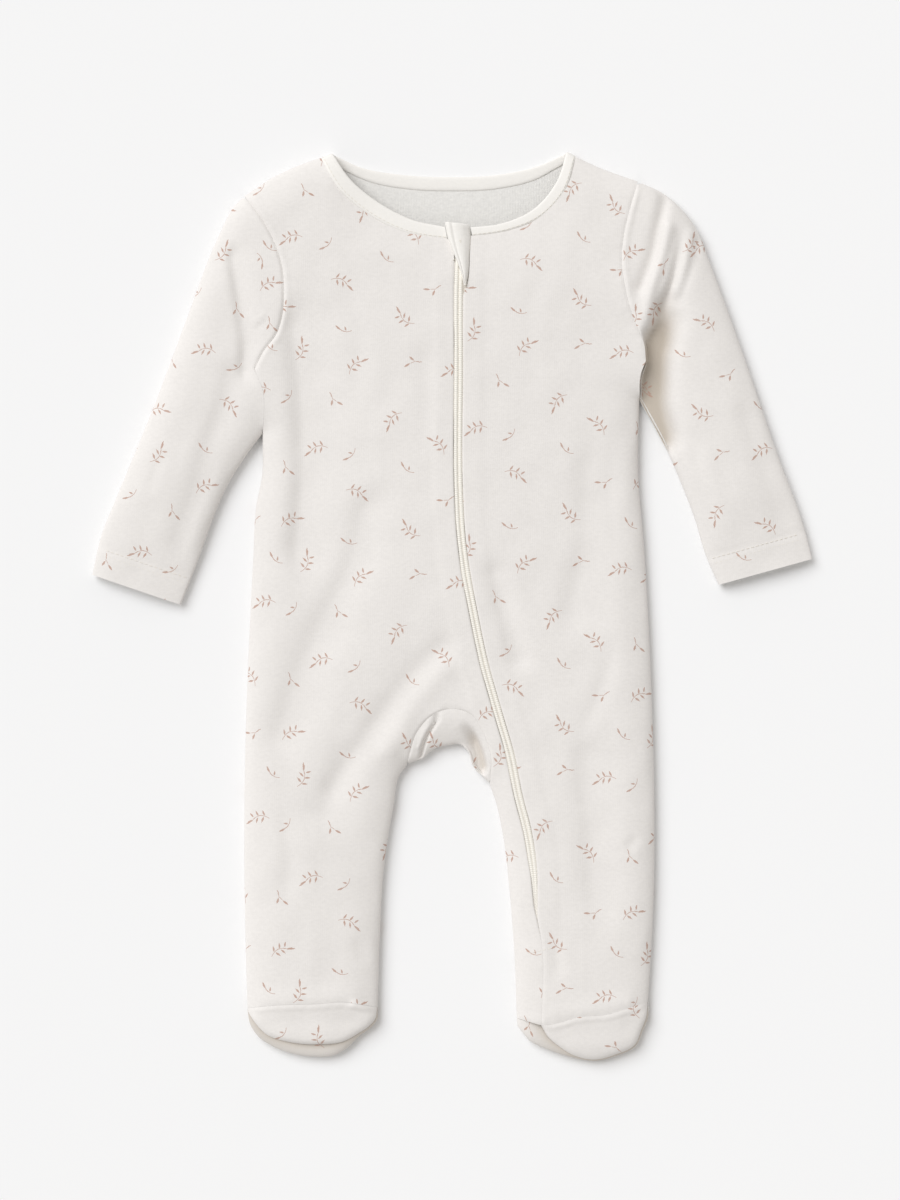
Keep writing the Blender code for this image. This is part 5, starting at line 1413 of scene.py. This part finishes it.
def front_left_blocks():
    """Left half of the chest and the outer front of the left leg."""
    slit, side, arm = SLIT["left"], SIDE["left"], ARM["left"]
    yoke_edge, slit_edge, body_edge, shin_edge = cut_at(
        zip_edge(1, FLARE_LEFT, FLARE_LEFT[-1][1]), slit[0][1], slit[-1][1], GUSSET_ARC[-1][1]
    )
    side_body, side_shin, _ = cut_at(side, GUSSET_ARC[-1][1], ANKLE_LEFT[-1][1] + SEAM_GAP / 2)
    neck = beside(rounded(NECK_SEAM_LEFT[::-1]), SEAM_GAP / 2)
    neck[-1] = yoke_edge[0]
    top, top_u = yoke_top(shoulder(SHOULDER_LEFT, arm, neck[0]), neck, COLUMNS["left"])
    body_u = spaced(LEFT_FRONT_WIDTH, ZIP_STEPS, FOLD_STEPS, COLUMNS["left"])
    ankle = beside(rounded(ANKLE_LEFT), SEAM_GAP / 2)
    shin_v = spaced(SHIN_LEFT_LENGTH, (0.0,), SEAM_STEPS, ROWS["shin"])
    return [
        lay(block(yoke_edge, arm, 1 - top_u[::-1], body_u, yoke_rows(ROWS["yoke"]), top=top[::-1]),
            upper, 1, "right top"),
        lay(block(slit_edge, slit, body_u, body_u, even(ROWS["slit"])), upper, 1, "right"),
        lay(block(body_edge, side_body, body_u, body_u, even(ROWS["left body"])), upper, 1, "right"),
        lay(block(shin_edge, side_shin, body_u, body_u, shin_v, bottom=ankle), upper, 1, "right"),
    ]


def back_blocks():
    """Back of the body and of both legs, in one piece, its outer face down."""
    neck = beside(rounded(NECK_SEAM_BACK), -SEAM_GAP / 2)
    right = shoulder(SHOULDER_RIGHT, ARM["right"], neck[0])
    left = shoulder(SHOULDER_LEFT, ARM["left"], neck[-1])
    top = np.vstack([right, neck[1:-1], left[::-1]])
    corners = run(right)[-1] / run(top)[-1], 1 - run(left)[-1] / run(top)[-1]
    side_count = COLUMNS["back"] // 5
    top_u = np.concatenate([
        corners[0] * even(side_count)[:-1],
        corners[0] + (corners[1] - corners[0]) * even(COLUMNS["back"] - 1 - 2 * side_count),
        corners[1] + (1 - corners[1]) * even(side_count)[1:],
    ])
    body = {name: cut_at(SIDE[name], ARC_APEX[1], HEEL_Y + SEAM_GAP / 2) for name in SIDE}
    full = body["left"][0][-1][0] - body["right"][0][-1][0]
    apex = (ARC_APEX[0] - body["right"][0][-1][0]) / full
    legs = COLUMNS["back leg"]
    rest = COLUMNS["back"] - legs + 1
    body_u = spaced(full, UNDER_STEPS, UNDER_STEPS, COLUMNS["back"])
    leg_u = {
        "right": spaced(full * apex, UNDER_STEPS, UNDER_STEPS, legs),
        "left": spaced(full * (1 - apex), UNDER_STEPS, UNDER_STEPS, rest),
    }
    legs_u = np.concatenate([leg_u["right"][:-1] * apex, apex + leg_u["left"] * (1 - apex)])
    rows = BACK_ROWS
    yoke_v = spaced(YOKE_LENGTH, UNDER_STEPS, (0.0,), rows["yoke"])
    blocks = [
        lay(block(ARM["right"], ARM["left"], top_u, body_u, yoke_v, top=top), under, -1, "left right top"),
        lay(block(SLIT["right"], SLIT["left"], body_u, body_u, even(rows["slit"])), under, -1, "left right"),
        lay(
            block(body["right"][0], body["left"][0], body_u, legs_u, even(rows["body"])),
            under, -1, "left right",
        ),
    ]
    for name, inner, arc in (("right", INNER_RIGHT, CROTCH_RIGHT), ("left", INNER_LEFT, CROTCH_LEFT)):
        crotch, shin = cut_at(body[name][1], arc[-1][1])
        leg = np.vstack([arc[-1:], cut_at(rounded(inner), HEEL_Y + SEAM_GAP / 2)[0][1:]])
        u = leg_u[name]
        for outside, inside, v in ((crotch, arc, even(rows["crotch"])), (shin, leg, even(rows["shin"]))):
            edges = (outside, inside) if name == "right" else (inside, outside)
            blocks.append(lay(block(*edges, u, u, v), under, -1, "left right"))
    return [rows[:, ::-1] for rows in blocks]


def gusset_blocks():
    """Crotch piece, folded along its lower edge from front to back."""
    arc = beside(rounded(GUSSET_ARC, 16), -SEAM_GAP / 2)
    low = rounded(CROTCH, 16)
    left, right = np.array([arc[0], low[0]]), np.array([arc[-1], low[-1]])
    u = even(GUSSET_COLUMNS)
    v = quarter(np.linspace(0, 0.999, GUSSET_ROWS) ** GUSSET_CURVE)
    front = block(left, right, u, u, v, top=arc, bottom=low)
    rear = block(left, right, u, u, np.append(1.0, v[::-3]), top=arc, bottom=low)
    face = with_folds(GUSSET_FOLDS, arc, GUSSET_FADE)
    rows = np.concatenate([np.dstack([front, face(front)]), np.dstack([rear, under(rear)])])
    rows[len(front), :, 2] = FOLD_Z
    return [rows]


# ---------------------------------------------------------------- sleeves and feet

def sleeve_blocks(side, armhole, slit, inside, outside, face):
    """A sleeve in sections square to its length: open at the armhole, folded along slit and inside."""
    count = SLEEVE_ROWS
    inner_edge = at(inside, (1 - HEM / run(inside)[-1]) * even(count["inner"])[1:])
    hem_edge = at(inside, 1 - HEM / run(inside)[-1] * (1 - even(count["hem"])[1:]))
    body_side = np.vstack([
        at(armhole, even(count["arm"]))[1:], at(slit, even(count["slit"]))[1:], inner_edge, hem_edge,
    ])
    cuff = np.array([outside[-1], inside[-1]])
    way = side * np.array([cuff[0][1] - cuff[1][1], cuff[1][0] - cuff[0][0]])
    way /= np.linalg.norm(way)
    outer = np.stack([np.interp(body_side @ way, outside @ way, outside[:, k]) for k in range(2)], axis=1)
    outer[-1] = outside[-1]

    def sections(u):
        """Points of every section at fractions from the body's side to the outer edge."""
        u = np.array(u)[None, :, None]
        return body_side[:, None] * (1 - u) + outer[:, None] * u

    top = sections(spaced(SLEEVE_WIDTH, SEAM_STEPS[:7], FOLD_STEPS[:9], SLEEVE_COLUMNS))
    low = sections(spaced(SLEEVE_WIDTH, UNDER_STEPS[:6], UNDER_STEPS[:6], SLEEVE_UNDER_COLUMNS)[:-1])
    height, depth = face(top), under(low)
    hem_start = len(body_side) - count["hem"] - 1
    height[hem_start - 1] -= HEM_DIP
    height[hem_start] -= HEM_DIP
    height[hem_start + 1:] += HEM_LIFT
    slit_rows = slice(count["arm"] - 1, count["arm"] + count["slit"] - 1)
    closed = slice(slit_rows.stop, None)
    height[closed, 0] = FOLD_Z
    depth[slit_rows, 0] = FOLD_Z
    depth[closed, 0] = FOLD_Z
    low[closed, 0] = top[closed, 0]
    height[:, -1] = FOLD_Z
    rows = np.concatenate([np.dstack([top, height]), np.dstack([low, depth])[:, ::-1]], axis=1)
    return [rows if side > 0 else rows[:, ::-1]]


def rim(xy):
    """Height of the sole's rim, which rises inwards from the outline."""
    return FOLD_Z + RIM_RISE * quarter(outline_distance(xy) / RIM_REACH)


def foot_blocks(side, ankle, toe, outline, outer, inner, rim_start):
    """Instep and sole of one foot, met at a toe seam that rolls over the sole's rim."""
    toe_line = rounded(toe)
    ankle_line = rounded(ankle)
    top = beside(ankle_line, -SEAM_GAP)
    low = beside(toe_line, SEAM_GAP)

    def instep(xy):
        """Height of the instep, which stands proud of the rim and rolls down to it at the toe seam."""
        near = distance(xy, toe_line)
        off_ankle = distance(xy, ankle_line)
        proud = upper(xy) + TOE_PROUD * np.exp(-near / TOE_FADE) * ease(off_ankle / TOE_FADE)
        base = rim(xy)
        roll = np.maximum(np.minimum(TOE_ROLL, near + off_ankle), TINY)
        return base + (np.maximum(proud, base) - base) * quarter(near / roll)

    ends = np.array([top[0], low[0]]), np.array([top[-1], low[-1]])
    width = LEG_WIDTH if side == "right" else LEFT_FOOT_WIDTH
    u = spaced(width, FOLD_STEPS, FOLD_STEPS, COLUMNS["leg"])
    v = spaced(INSTEP_LENGTH, SEAM_STEPS[:5], TOE_STEPS, FOOT_ROWS["instep"])
    upper_blocks = [lay(block(*ends, u, u, v, top=top, bottom=low), instep, 1, "left right")]

    heel = np.array([outer[0], inner[0]])
    edge = rounded(outline)
    crest = beside(toe_line, -SEAM_GAP / 2)
    if rim_start:
        start = beside(rounded(rim_start), -SEAM_GAP / 2)
        share = run(start)[-1] / (run(start)[-1] + run(crest)[-1])
        crest = np.vstack([start, crest[1:]])
        u = np.concatenate([[0.0, START_SHARE * share], share + (1 - share) * u])
    sole_v = 1 - spaced(SOLE_LENGTH, UNDER_STEPS[1:6], (0.0,), FOOT_ROWS["sole"])[::-1]
    floor = lay(block(outer, inner, u, u, sole_v, top=heel, bottom=edge), under, -1, "left right")
    sides = np.array([edge[0], crest[0]]), np.array([edge[-1], crest[-1]])
    lip = block(*sides, u, u, np.linspace(0, 1, FOOT_ROWS["lip"]) ** LIP_CURVE, top=edge, bottom=crest)
    lip = np.dstack([lip, rim(lip)])
    rows = np.concatenate([floor, lip])
    return upper_blocks, [rows[:, ::-1]]


# ---------------------------------------------------------------- neck and zip

def neck_band():
    """Places along the neck band: its seam edge, its free edge and the way out of its face."""
    def stretch(lines, count):
        """Points spread evenly along lines."""
        t = even(count)
        return [at(rounded(line), t) for line in lines]

    def on_front(xy):
        """Points on the front's face."""
        return np.column_stack([xy, loft(xy)[0]])

    right = stretch((NECK_SEAM_RIGHT, NECK_FREE_RIGHT), BAND_COLUMNS["right"])
    left = stretch((NECK_SEAM_LEFT[::-1], NECK_FREE_LEFT[::-1]), BAND_COLUMNS["left"])
    rear = stretch((NECK_SEAM_BACK, NECK_BACK), BAND_COLUMNS["rear"])
    rear_z = under(rear[0])
    rear_z[[0, -1]] = FOLD_Z
    seam, free = [
        np.vstack([on_front(right[k][:0:-1]), np.column_stack([rear[k], rear_z]), on_front(left[k][1:])])
        for k in (0, 1)
    ]
    across = unit(free - seam)
    out = unit(np.cross(across, np.gradient((seam + free) / 2, axis=0)))
    blur = np.exp(-np.linspace(-2, 2, 2 * BAND_EVENED + 1) ** 2)
    padded = np.pad(out, ((BAND_EVENED, BAND_EVENED), (0, 0)), mode="edge")
    out = unit(np.stack([np.convolve(padded[:, k], blur / blur.sum(), "valid") for k in range(3)], axis=1))
    seam, free = seam - out * BAND_SUNK - across * BAND_OVER, free - out * BAND_SUNK
    for line in (seam, free):
        line[:, 2] = np.maximum(line[:, 2], BAND_LEAST)
    return seam, free, out


def band_face(share):
    """Height of the band's face over its middle plane: a soft dome that is thin at the sewn edge."""
    edge = quarter(np.minimum(share / BAND_TAPER[0], (1 - share) / BAND_TAPER[1]))
    return BAND_HALF * (BAND_THIN + (1 - BAND_THIN) * edge + BAND_THIN * np.sin(math.pi * share))


def guard_rows():
    """The guard's surface: a rolled left edge, a face that slopes off to the right, a tucked right edge."""
    u, lift, tip = np.array(GUARD_SECTION).T
    shares = np.concatenate([GUARD_TUCK, np.linspace(0.04, 1, GUARD_ROWS)])
    t = np.clip(shares, 0, 1)
    left, right = at(rounded(GUARD_LEFT_EDGE), t), at(rounded(GUARD_RIGHT_EDGE), t)
    fine_u = np.interp(np.linspace(0, len(u) - 1, GUARD_COLUMNS), np.arange(len(u)), u)
    rows = left[:, None] * (1 - fine_u[:, None]) + right[:, None] * fine_u[:, None]
    rows[..., 1] += np.maximum(-shares, 0)[:, None] * GUARD_TUCK_RUN
    fall = (1 - t)[:, None] ** GUARD_FALL
    top, end = np.interp(fine_u, u, lift), np.interp(fine_u, u, tip)
    height = loft(rows)[0] + top * fall + end * (1 - fall)
    height -= GUARD_TUCK_DROP * (np.clip(shares / GUARD_TUCK[0], 0, 1) ** 2)[:, None]
    return np.dstack([rows, height])


def repeated(name, route, size, pitch, finish):
    """A small rounded bead of the size given, repeated at a pitch along a route."""
    path = bpy.data.curves.new(name + "_path", "CURVE")
    path.dimensions = "3D"
    path.twist_mode = "Z_UP"
    spline = path.splines.new("POLY")
    spline.points.add(len(route) - 1)
    for point, place in zip(spline.points, route * MM):
        point.co = (*place, 1.0)
    guide = bpy.data.objects.new(name + "_path", path)
    bpy.context.scene.collection.objects.link(guide)
    deselect()
    bpy.ops.mesh.primitive_uv_sphere_add(segments=8, ring_count=5, radius=0.5)
    bead = bpy.context.active_object
    bead.name = name
    bead.data.name = name
    bpy.ops.object.mode_set(mode="EDIT")
    bpy.ops.mesh.select_all(action="SELECT")
    bpy.ops.transform.rotate(value=math.pi / 2, orient_axis="Y", center_override=(0, 0, 0))
    bpy.ops.transform.resize(value=tuple(side * MM for side in size), center_override=(0, 0, 0))
    bpy.ops.transform.translate(value=(pitch * MM / 2, 0, 0))
    bpy.ops.object.mode_set(mode="OBJECT")
    total = run(route)[-1]
    row = bead.modifiers.new("row", "ARRAY")
    row.count = max(int(total / pitch), 1)
    row.use_relative_offset = False
    row.use_constant_offset = True
    row.constant_offset_displace = (total / row.count * MM, 0, 0)
    bend = bead.modifiers.new("route", "CURVE")
    bend.object = guide
    apply_all(bead)
    bpy.data.objects.remove(guide)
    bead.data.materials.append(finish_of(finish))
    smooth(bead, 80)
    return bead


def tape_strip(name, path, side):
    """One tape: from under its coil out beneath the front panel."""
    reach, drop = np.array(TAPE_SECTION).T
    rows = np.stack([beside(path, side * out) for out in reach], axis=1)
    height = loft(rows)[0] - drop
    grid = np.dstack([rows, height])
    rows = grid if side < 0 else grid[:, ::-1]
    return cloth_piece(name, [rows], None, (), (zip_tape,), TAPE_WALL)


def stitch_routes():
    """The routes of the stitch rows."""
    def on_cloth_at(line, lift=STITCH_LIFT):
        """A line lifted onto the cloth."""
        return np.column_stack([line, upper(line) + lift])

    seam, free, out = neck_band()
    lift = band_face(np.array([STITCH_INSET])) + BAND_STITCH_LIFT
    routes = {"neck_band": seam + (free - seam) * STITCH_INSET + out * lift}
    for name, outside, inside in (
        ("right", SLEEVE_OUT_RIGHT, SLEEVE_IN_RIGHT), ("left", SLEEVE_OUT_LEFT, SLEEVE_IN_LEFT),
    ):
        edge = np.array([outside[-1], inside[-1]])
        up = at(rounded(inside), 1 - HEM / run(rounded(inside))[-1]) - edge[1]
        for row, share in CUFF_STITCH_ROWS:
            line = at(edge, CUFF_STITCH_POINTS) + up * share
            routes[f"cuff_{name}_{row}"] = on_cloth_at(line, CUFF_STITCH_LIFT)
    foot = rounded(ZIP_LINE)
    end = at(foot, level(foot, ZIP_FOOT - ZIP_END_DROP))
    routes["zip_end"] = on_cloth_at(np.linspace(end + ZIP_END_STITCHES[0], end + ZIP_END_STITCHES[1], 12))
    routes["zip_top"] = on_cloth_at(np.linspace(*ZIP_TOP_STITCHES, 6), TOP_STITCH_LIFT)
    return routes


# ---------------------------------------------------------------- operators

class SLEEPSUIT_OT_fronts(bpy.types.Operator):
    """Makes the two printed front panels."""
    bl_idname = "sleepsuit.fronts"
    bl_label = "Front panels"
    bl_options = {"REGISTER", "UNDO"}

    def execute(self, context):
        right = cloth_piece("panel_front_right", front_right_blocks(), "right front", ["front_right"])
        left = cloth_piece("panel_front_left", front_left_blocks(), "left front", ["front_left"])
        return {"FINISHED"}


class SLEEPSUIT_OT_back(bpy.types.Operator):
    """Makes the printed back panel, which lies on the floor."""
    bl_idname = "sleepsuit.back"
    bl_label = "Back panel"
    bl_options = {"REGISTER", "UNDO"}

    def execute(self, context):
        back = cloth_piece("panel_back", back_blocks(), "back", ["back"])
        return {"FINISHED"}


class SLEEPSUIT_OT_gusset(bpy.types.Operator):
    """Makes the crotch gusset."""
    bl_idname = "sleepsuit.gusset"
    bl_label = "Crotch gusset"
    bl_options = {"REGISTER", "UNDO"}

    def execute(self, context):
        gusset = cloth_piece("crotch_gusset", gusset_blocks(), "gusset", ["gusset"],
                             hollow=painted_fold_shade_of(GUSSET_FOLDS))
        return {"FINISHED"}


class SLEEPSUIT_OT_sleeves(bpy.types.Operator):
    """Makes both sleeves; the left one has the folds of its gathered cap."""
    bl_idname = "sleepsuit.sleeves"
    bl_label = "Sleeves"
    bl_options = {"REGISTER", "UNDO"}

    def execute(self, context):
        gap = SEAM_GAP / 2
        for name, side, arm, slit, inside, outside in (
            ("right", -1, ARMHOLE_RIGHT, SLIT_RIGHT, SLEEVE_IN_RIGHT, SLEEVE_OUT_RIGHT),
            ("left", 1, ARMHOLE_LEFT, SLIT_LEFT, SLEEVE_IN_LEFT, SLEEVE_OUT_LEFT),
        ):
            arm = beside(joined(arm), side * gap)
            slit = beside(joined(slit), side * gap)
            slit[0] = arm[-1]
            inside = rounded(inside)
            inside[0] = slit[-1]
            outside = rounded(outside)
            face = with_folds(SLEEVE_FOLDS, arm, CAP_FADE) if side > 0 else upper
            blocks = sleeve_blocks(side, arm, slit, inside, outside, face)
            made = cloth_piece("sleeve_cloth_" + name, blocks, name + " sleeve",
                               ["sleeve_" + name], mirror=outside, hollow=painted_fold_shade_of(SLEEVE_FOLDS))
        return {"FINISHED"}


class SLEEPSUIT_OT_feet(bpy.types.Operator):
    """Makes both insteps and soles."""
    bl_idname = "sleepsuit.feet"
    bl_label = "Feet"
    bl_options = {"REGISTER", "UNDO"}

    def execute(self, context):
        for side, ankle, toe, outline, inner, rim_start in (
            ("right", ANKLE_RIGHT, TOE_RIGHT, FOOT_RIGHT, INNER_RIGHT, ()),
            ("left", ANKLE_LEFT, TOE_LEFT, FOOT_LEFT, INNER_LEFT, STRIP_END),
        ):
            outer = cut_at(rounded(SIDE_RIGHT if side == "right" else SIDE_LEFT), HEEL_Y - SEAM_GAP / 2)[1]
            inner = cut_at(rounded(inner), HEEL_Y - SEAM_GAP / 2)[1]
            edges = (outer, inner) if side == "right" else (inner, outer)
            top, sole = foot_blocks(side, ankle, toe, outline, *edges, rim_start)
            upper_node = ["foot_upper_" + side]
            instep = cloth_piece("instep_" + side, top, side + " foot", upper_node)
            # The sole gets a painted shade under its toe seam
            base = cloth_piece("sole_cloth_" + side, sole, side + " foot", ["sole_" + side],
                               hollow=painted_shade_under(rounded(toe)))
        return {"FINISHED"}


class SLEEPSUIT_OT_band(bpy.types.Operator):
    """Makes the folded rib band round the neck."""
    bl_idname = "sleepsuit.band"
    bl_label = "Neck band"
    bl_options = {"REGISTER", "UNDO"}

    def execute(self, context):
        seam, free, out = neck_band()
        share = 0.5 - 0.5 * np.cos(np.linspace(0, math.pi, BAND_PROFILE // 2))
        share = np.concatenate([share, share[::-1]])
        face = band_face(share) * np.repeat([1, -1], BAND_PROFILE // 2)
        face[[0, -1]] *= 0.9
        points = seam[:, None] + (free - seam)[:, None] * share[:, None] + out[:, None] * face[:, None]
        faces = grid_faces(0, len(points), BAND_PROFILE, ring=True)
        last = len(points) * BAND_PROFILE
        faces += [list(range(BAND_PROFILE))[::-1], list(range(last - BAND_PROFILE, last))]
        faces = [corners[::-1] for corners in faces]
        band = add_mesh("neck_band", points.reshape(-1, 3), faces, (plain_rib,))
        smooth(band, 70)
        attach(band, BODY)
        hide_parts("neck_binding")
        return {"FINISHED"}


class SLEEPSUIT_OT_guard(bpy.types.Operator):
    """Makes the folded guard over the top of the zip."""
    bl_idname = "sleepsuit.guard"
    bl_label = "Zip guard"
    bl_options = {"REGISTER", "UNDO"}

    def execute(self, context):
        guard = cloth_piece("guard_cloth", [guard_rows()], None, ["zip_guard"],
                            (plain_rib,), GUARD_WALL)
        return {"FINISHED"}


class SLEEPSUIT_OT_zip(bpy.types.Operator):
    """Makes the coils and tapes of the zip, and finishes its slider and pull."""
    bl_idname = "sleepsuit.zip"
    bl_label = "Zip"
    bl_options = {"REGISTER", "UNDO"}

    def execute(self, context):
        line = rounded(ZIP_LINE)
        path = part_of(line, level(line, ZIP_TOP), level(line, ZIP_FOOT), ZIP_POINTS)
        for name, side in (("right", -1), ("left", 1)):
            room = zip_half(path[:, 1])
            middle = beside(path, side * COIL_OFFSET * room / ZIP_HALF[-1][1])
            sunk = COIL_THICK / 2 - COIL_SHOWS + COIL_SINKS * (1 - room / ZIP_HALF[-1][1])
            route = np.column_stack([middle, loft(middle)[0] - sunk])
            turn = (COIL_PITCH * COIL_OVERLAP, COIL_WIDTH, COIL_THICK)
            coil = repeated("zip_coil_" + name, route, turn, COIL_PITCH, coil_nylon)
            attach(coil, BODY)
            tape = tape_strip("tape_cloth_" + name, path, side)
            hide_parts("zip_tape_" + name)
            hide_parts("zip_tape_" + name)
        for name in ("zip_slider", "zip_pull"):
            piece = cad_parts[name]
            piece.data.materials.clear()
            piece.data.materials.append(finish_of(moulded_acetal))
        return {"FINISHED"}


class SLEEPSUIT_OT_stitches(bpy.types.Operator):
    """Sews the rows of stitches: the band's lower edge, the hems, the zip's end and its top."""
    bl_idname = "sleepsuit.stitches"
    bl_label = "Stitches"
    bl_options = {"REGISTER", "UNDO"}

    def execute(self, context):
        s = context.scene.sleepsuit_trim
        size = (s.stitch / MM, s.thread / MM, s.thread / MM)
        for name, route in stitch_routes().items():
            row = repeated("stitches_" + name, route, size, s.stitch_pitch / MM, sewing_thread)
            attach(row, BODY)
        return {"FINISHED"}


class SLEEPSUIT_OT_stage(bpy.types.Operator):
    """Makes the floor, the light and the camera."""
    bl_idname = "sleepsuit.stage"
    bl_label = "Floor, light and camera"
    bl_options = {"REGISTER", "UNDO"}

    def execute(self, context):
        s = context.scene.sleepsuit_stage
        deselect()
        bpy.ops.mesh.primitive_plane_add(size=s.floor_size, location=(0, 0, 0))
        floor = context.active_object
        floor.name = "floor"
        floor.data.materials.append(finish_of(matt_floor))

        sky = bpy.data.worlds.new("even light")
        sky.use_nodes = True
        background = sky.node_tree.nodes["Background"]
        background.inputs[0].default_value = SKY_TINT
        background.inputs[1].default_value = s.sky_strength
        context.scene.world = sky

        sun = bpy.data.lights.new("large soft light", "SUN")
        sun.energy = s.sun_strength
        sun.angle = s.sun_size
        sun.color = SUN_TINT
        lamp = bpy.data.objects.new("large soft light", sun)
        context.scene.collection.objects.link(lamp)
        toward = Vector((math.cos(s.sun_heading) * math.cos(s.sun_height),
                         math.sin(s.sun_heading) * math.cos(s.sun_height), math.sin(s.sun_height)))
        lamp.rotation_euler = toward.to_track_quat("Z", "Y").to_euler()

        lens = bpy.data.cameras.new("camera")
        lens.sensor_fit = "VERTICAL"
        lens.lens = lens.sensor_height * s.camera_height / s.view_height
        lens.clip_end = CLIP_END
        camera = bpy.data.objects.new("camera", lens)
        camera.location = (s.view_x, s.view_y, s.camera_height)
        context.scene.collection.objects.link(camera)
        context.scene.camera = camera
        context.scene.view_settings.view_transform = "Standard"
        return {"FINISHED"}


class SLEEPSUIT_PT_panel(bpy.types.Panel):
    """Lists the sleepsuit's settings and steps."""
    bl_label = "Sleepsuit"
    bl_idname = "SLEEPSUIT_PT_panel"
    bl_space_type = "VIEW_3D"
    bl_region_type = "UI"
    bl_category = "Sleepsuit"

    def draw(self, context):
        scene = context.scene
        for group in (scene.sleepsuit_cloth, scene.sleepsuit_trim, scene.sleepsuit_stage):
            box = self.layout.box()
            for name in group.bl_rna.properties.keys():
                if name not in ("rna_type", "name"):
                    box.prop(group, name)
        for step in STEPS:
            self.layout.operator(step.bl_idname)


STEPS = (
    SLEEPSUIT_OT_stage, SLEEPSUIT_OT_fronts, SLEEPSUIT_OT_back, SLEEPSUIT_OT_gusset, SLEEPSUIT_OT_sleeves,
    SLEEPSUIT_OT_feet, SLEEPSUIT_OT_band, SLEEPSUIT_OT_guard, SLEEPSUIT_OT_zip, SLEEPSUIT_OT_stitches,
)
GROUPS = (
    (SleepsuitCloth, "sleepsuit_cloth"),
    (SleepsuitTrim, "sleepsuit_trim"),
    (SleepsuitStage, "sleepsuit_stage"),
)


def register():
    """Adds the settings, the steps and the panel to Blender."""
    for group, name in GROUPS:
        bpy.utils.register_class(group)
        setattr(bpy.types.Scene, name, bpy.props.PointerProperty(type=group))
    for step in STEPS:
        bpy.utils.register_class(step)
    bpy.utils.register_class(SLEEPSUIT_PT_panel)


def unregister():
    """Takes them out again."""
    bpy.utils.unregister_class(SLEEPSUIT_PT_panel)
    for step in reversed(STEPS):
        bpy.utils.unregister_class(step)
    for group, name in reversed(GROUPS):
        delattr(bpy.types.Scene, name)
        bpy.utils.unregister_class(group)


def main():
    """Makes everything."""
    register()
    for step in STEPS:
        family, name = step.bl_idname.split(".")
        getattr(getattr(bpy.ops, family), name)()


if __name__ == "__main__":
    main()
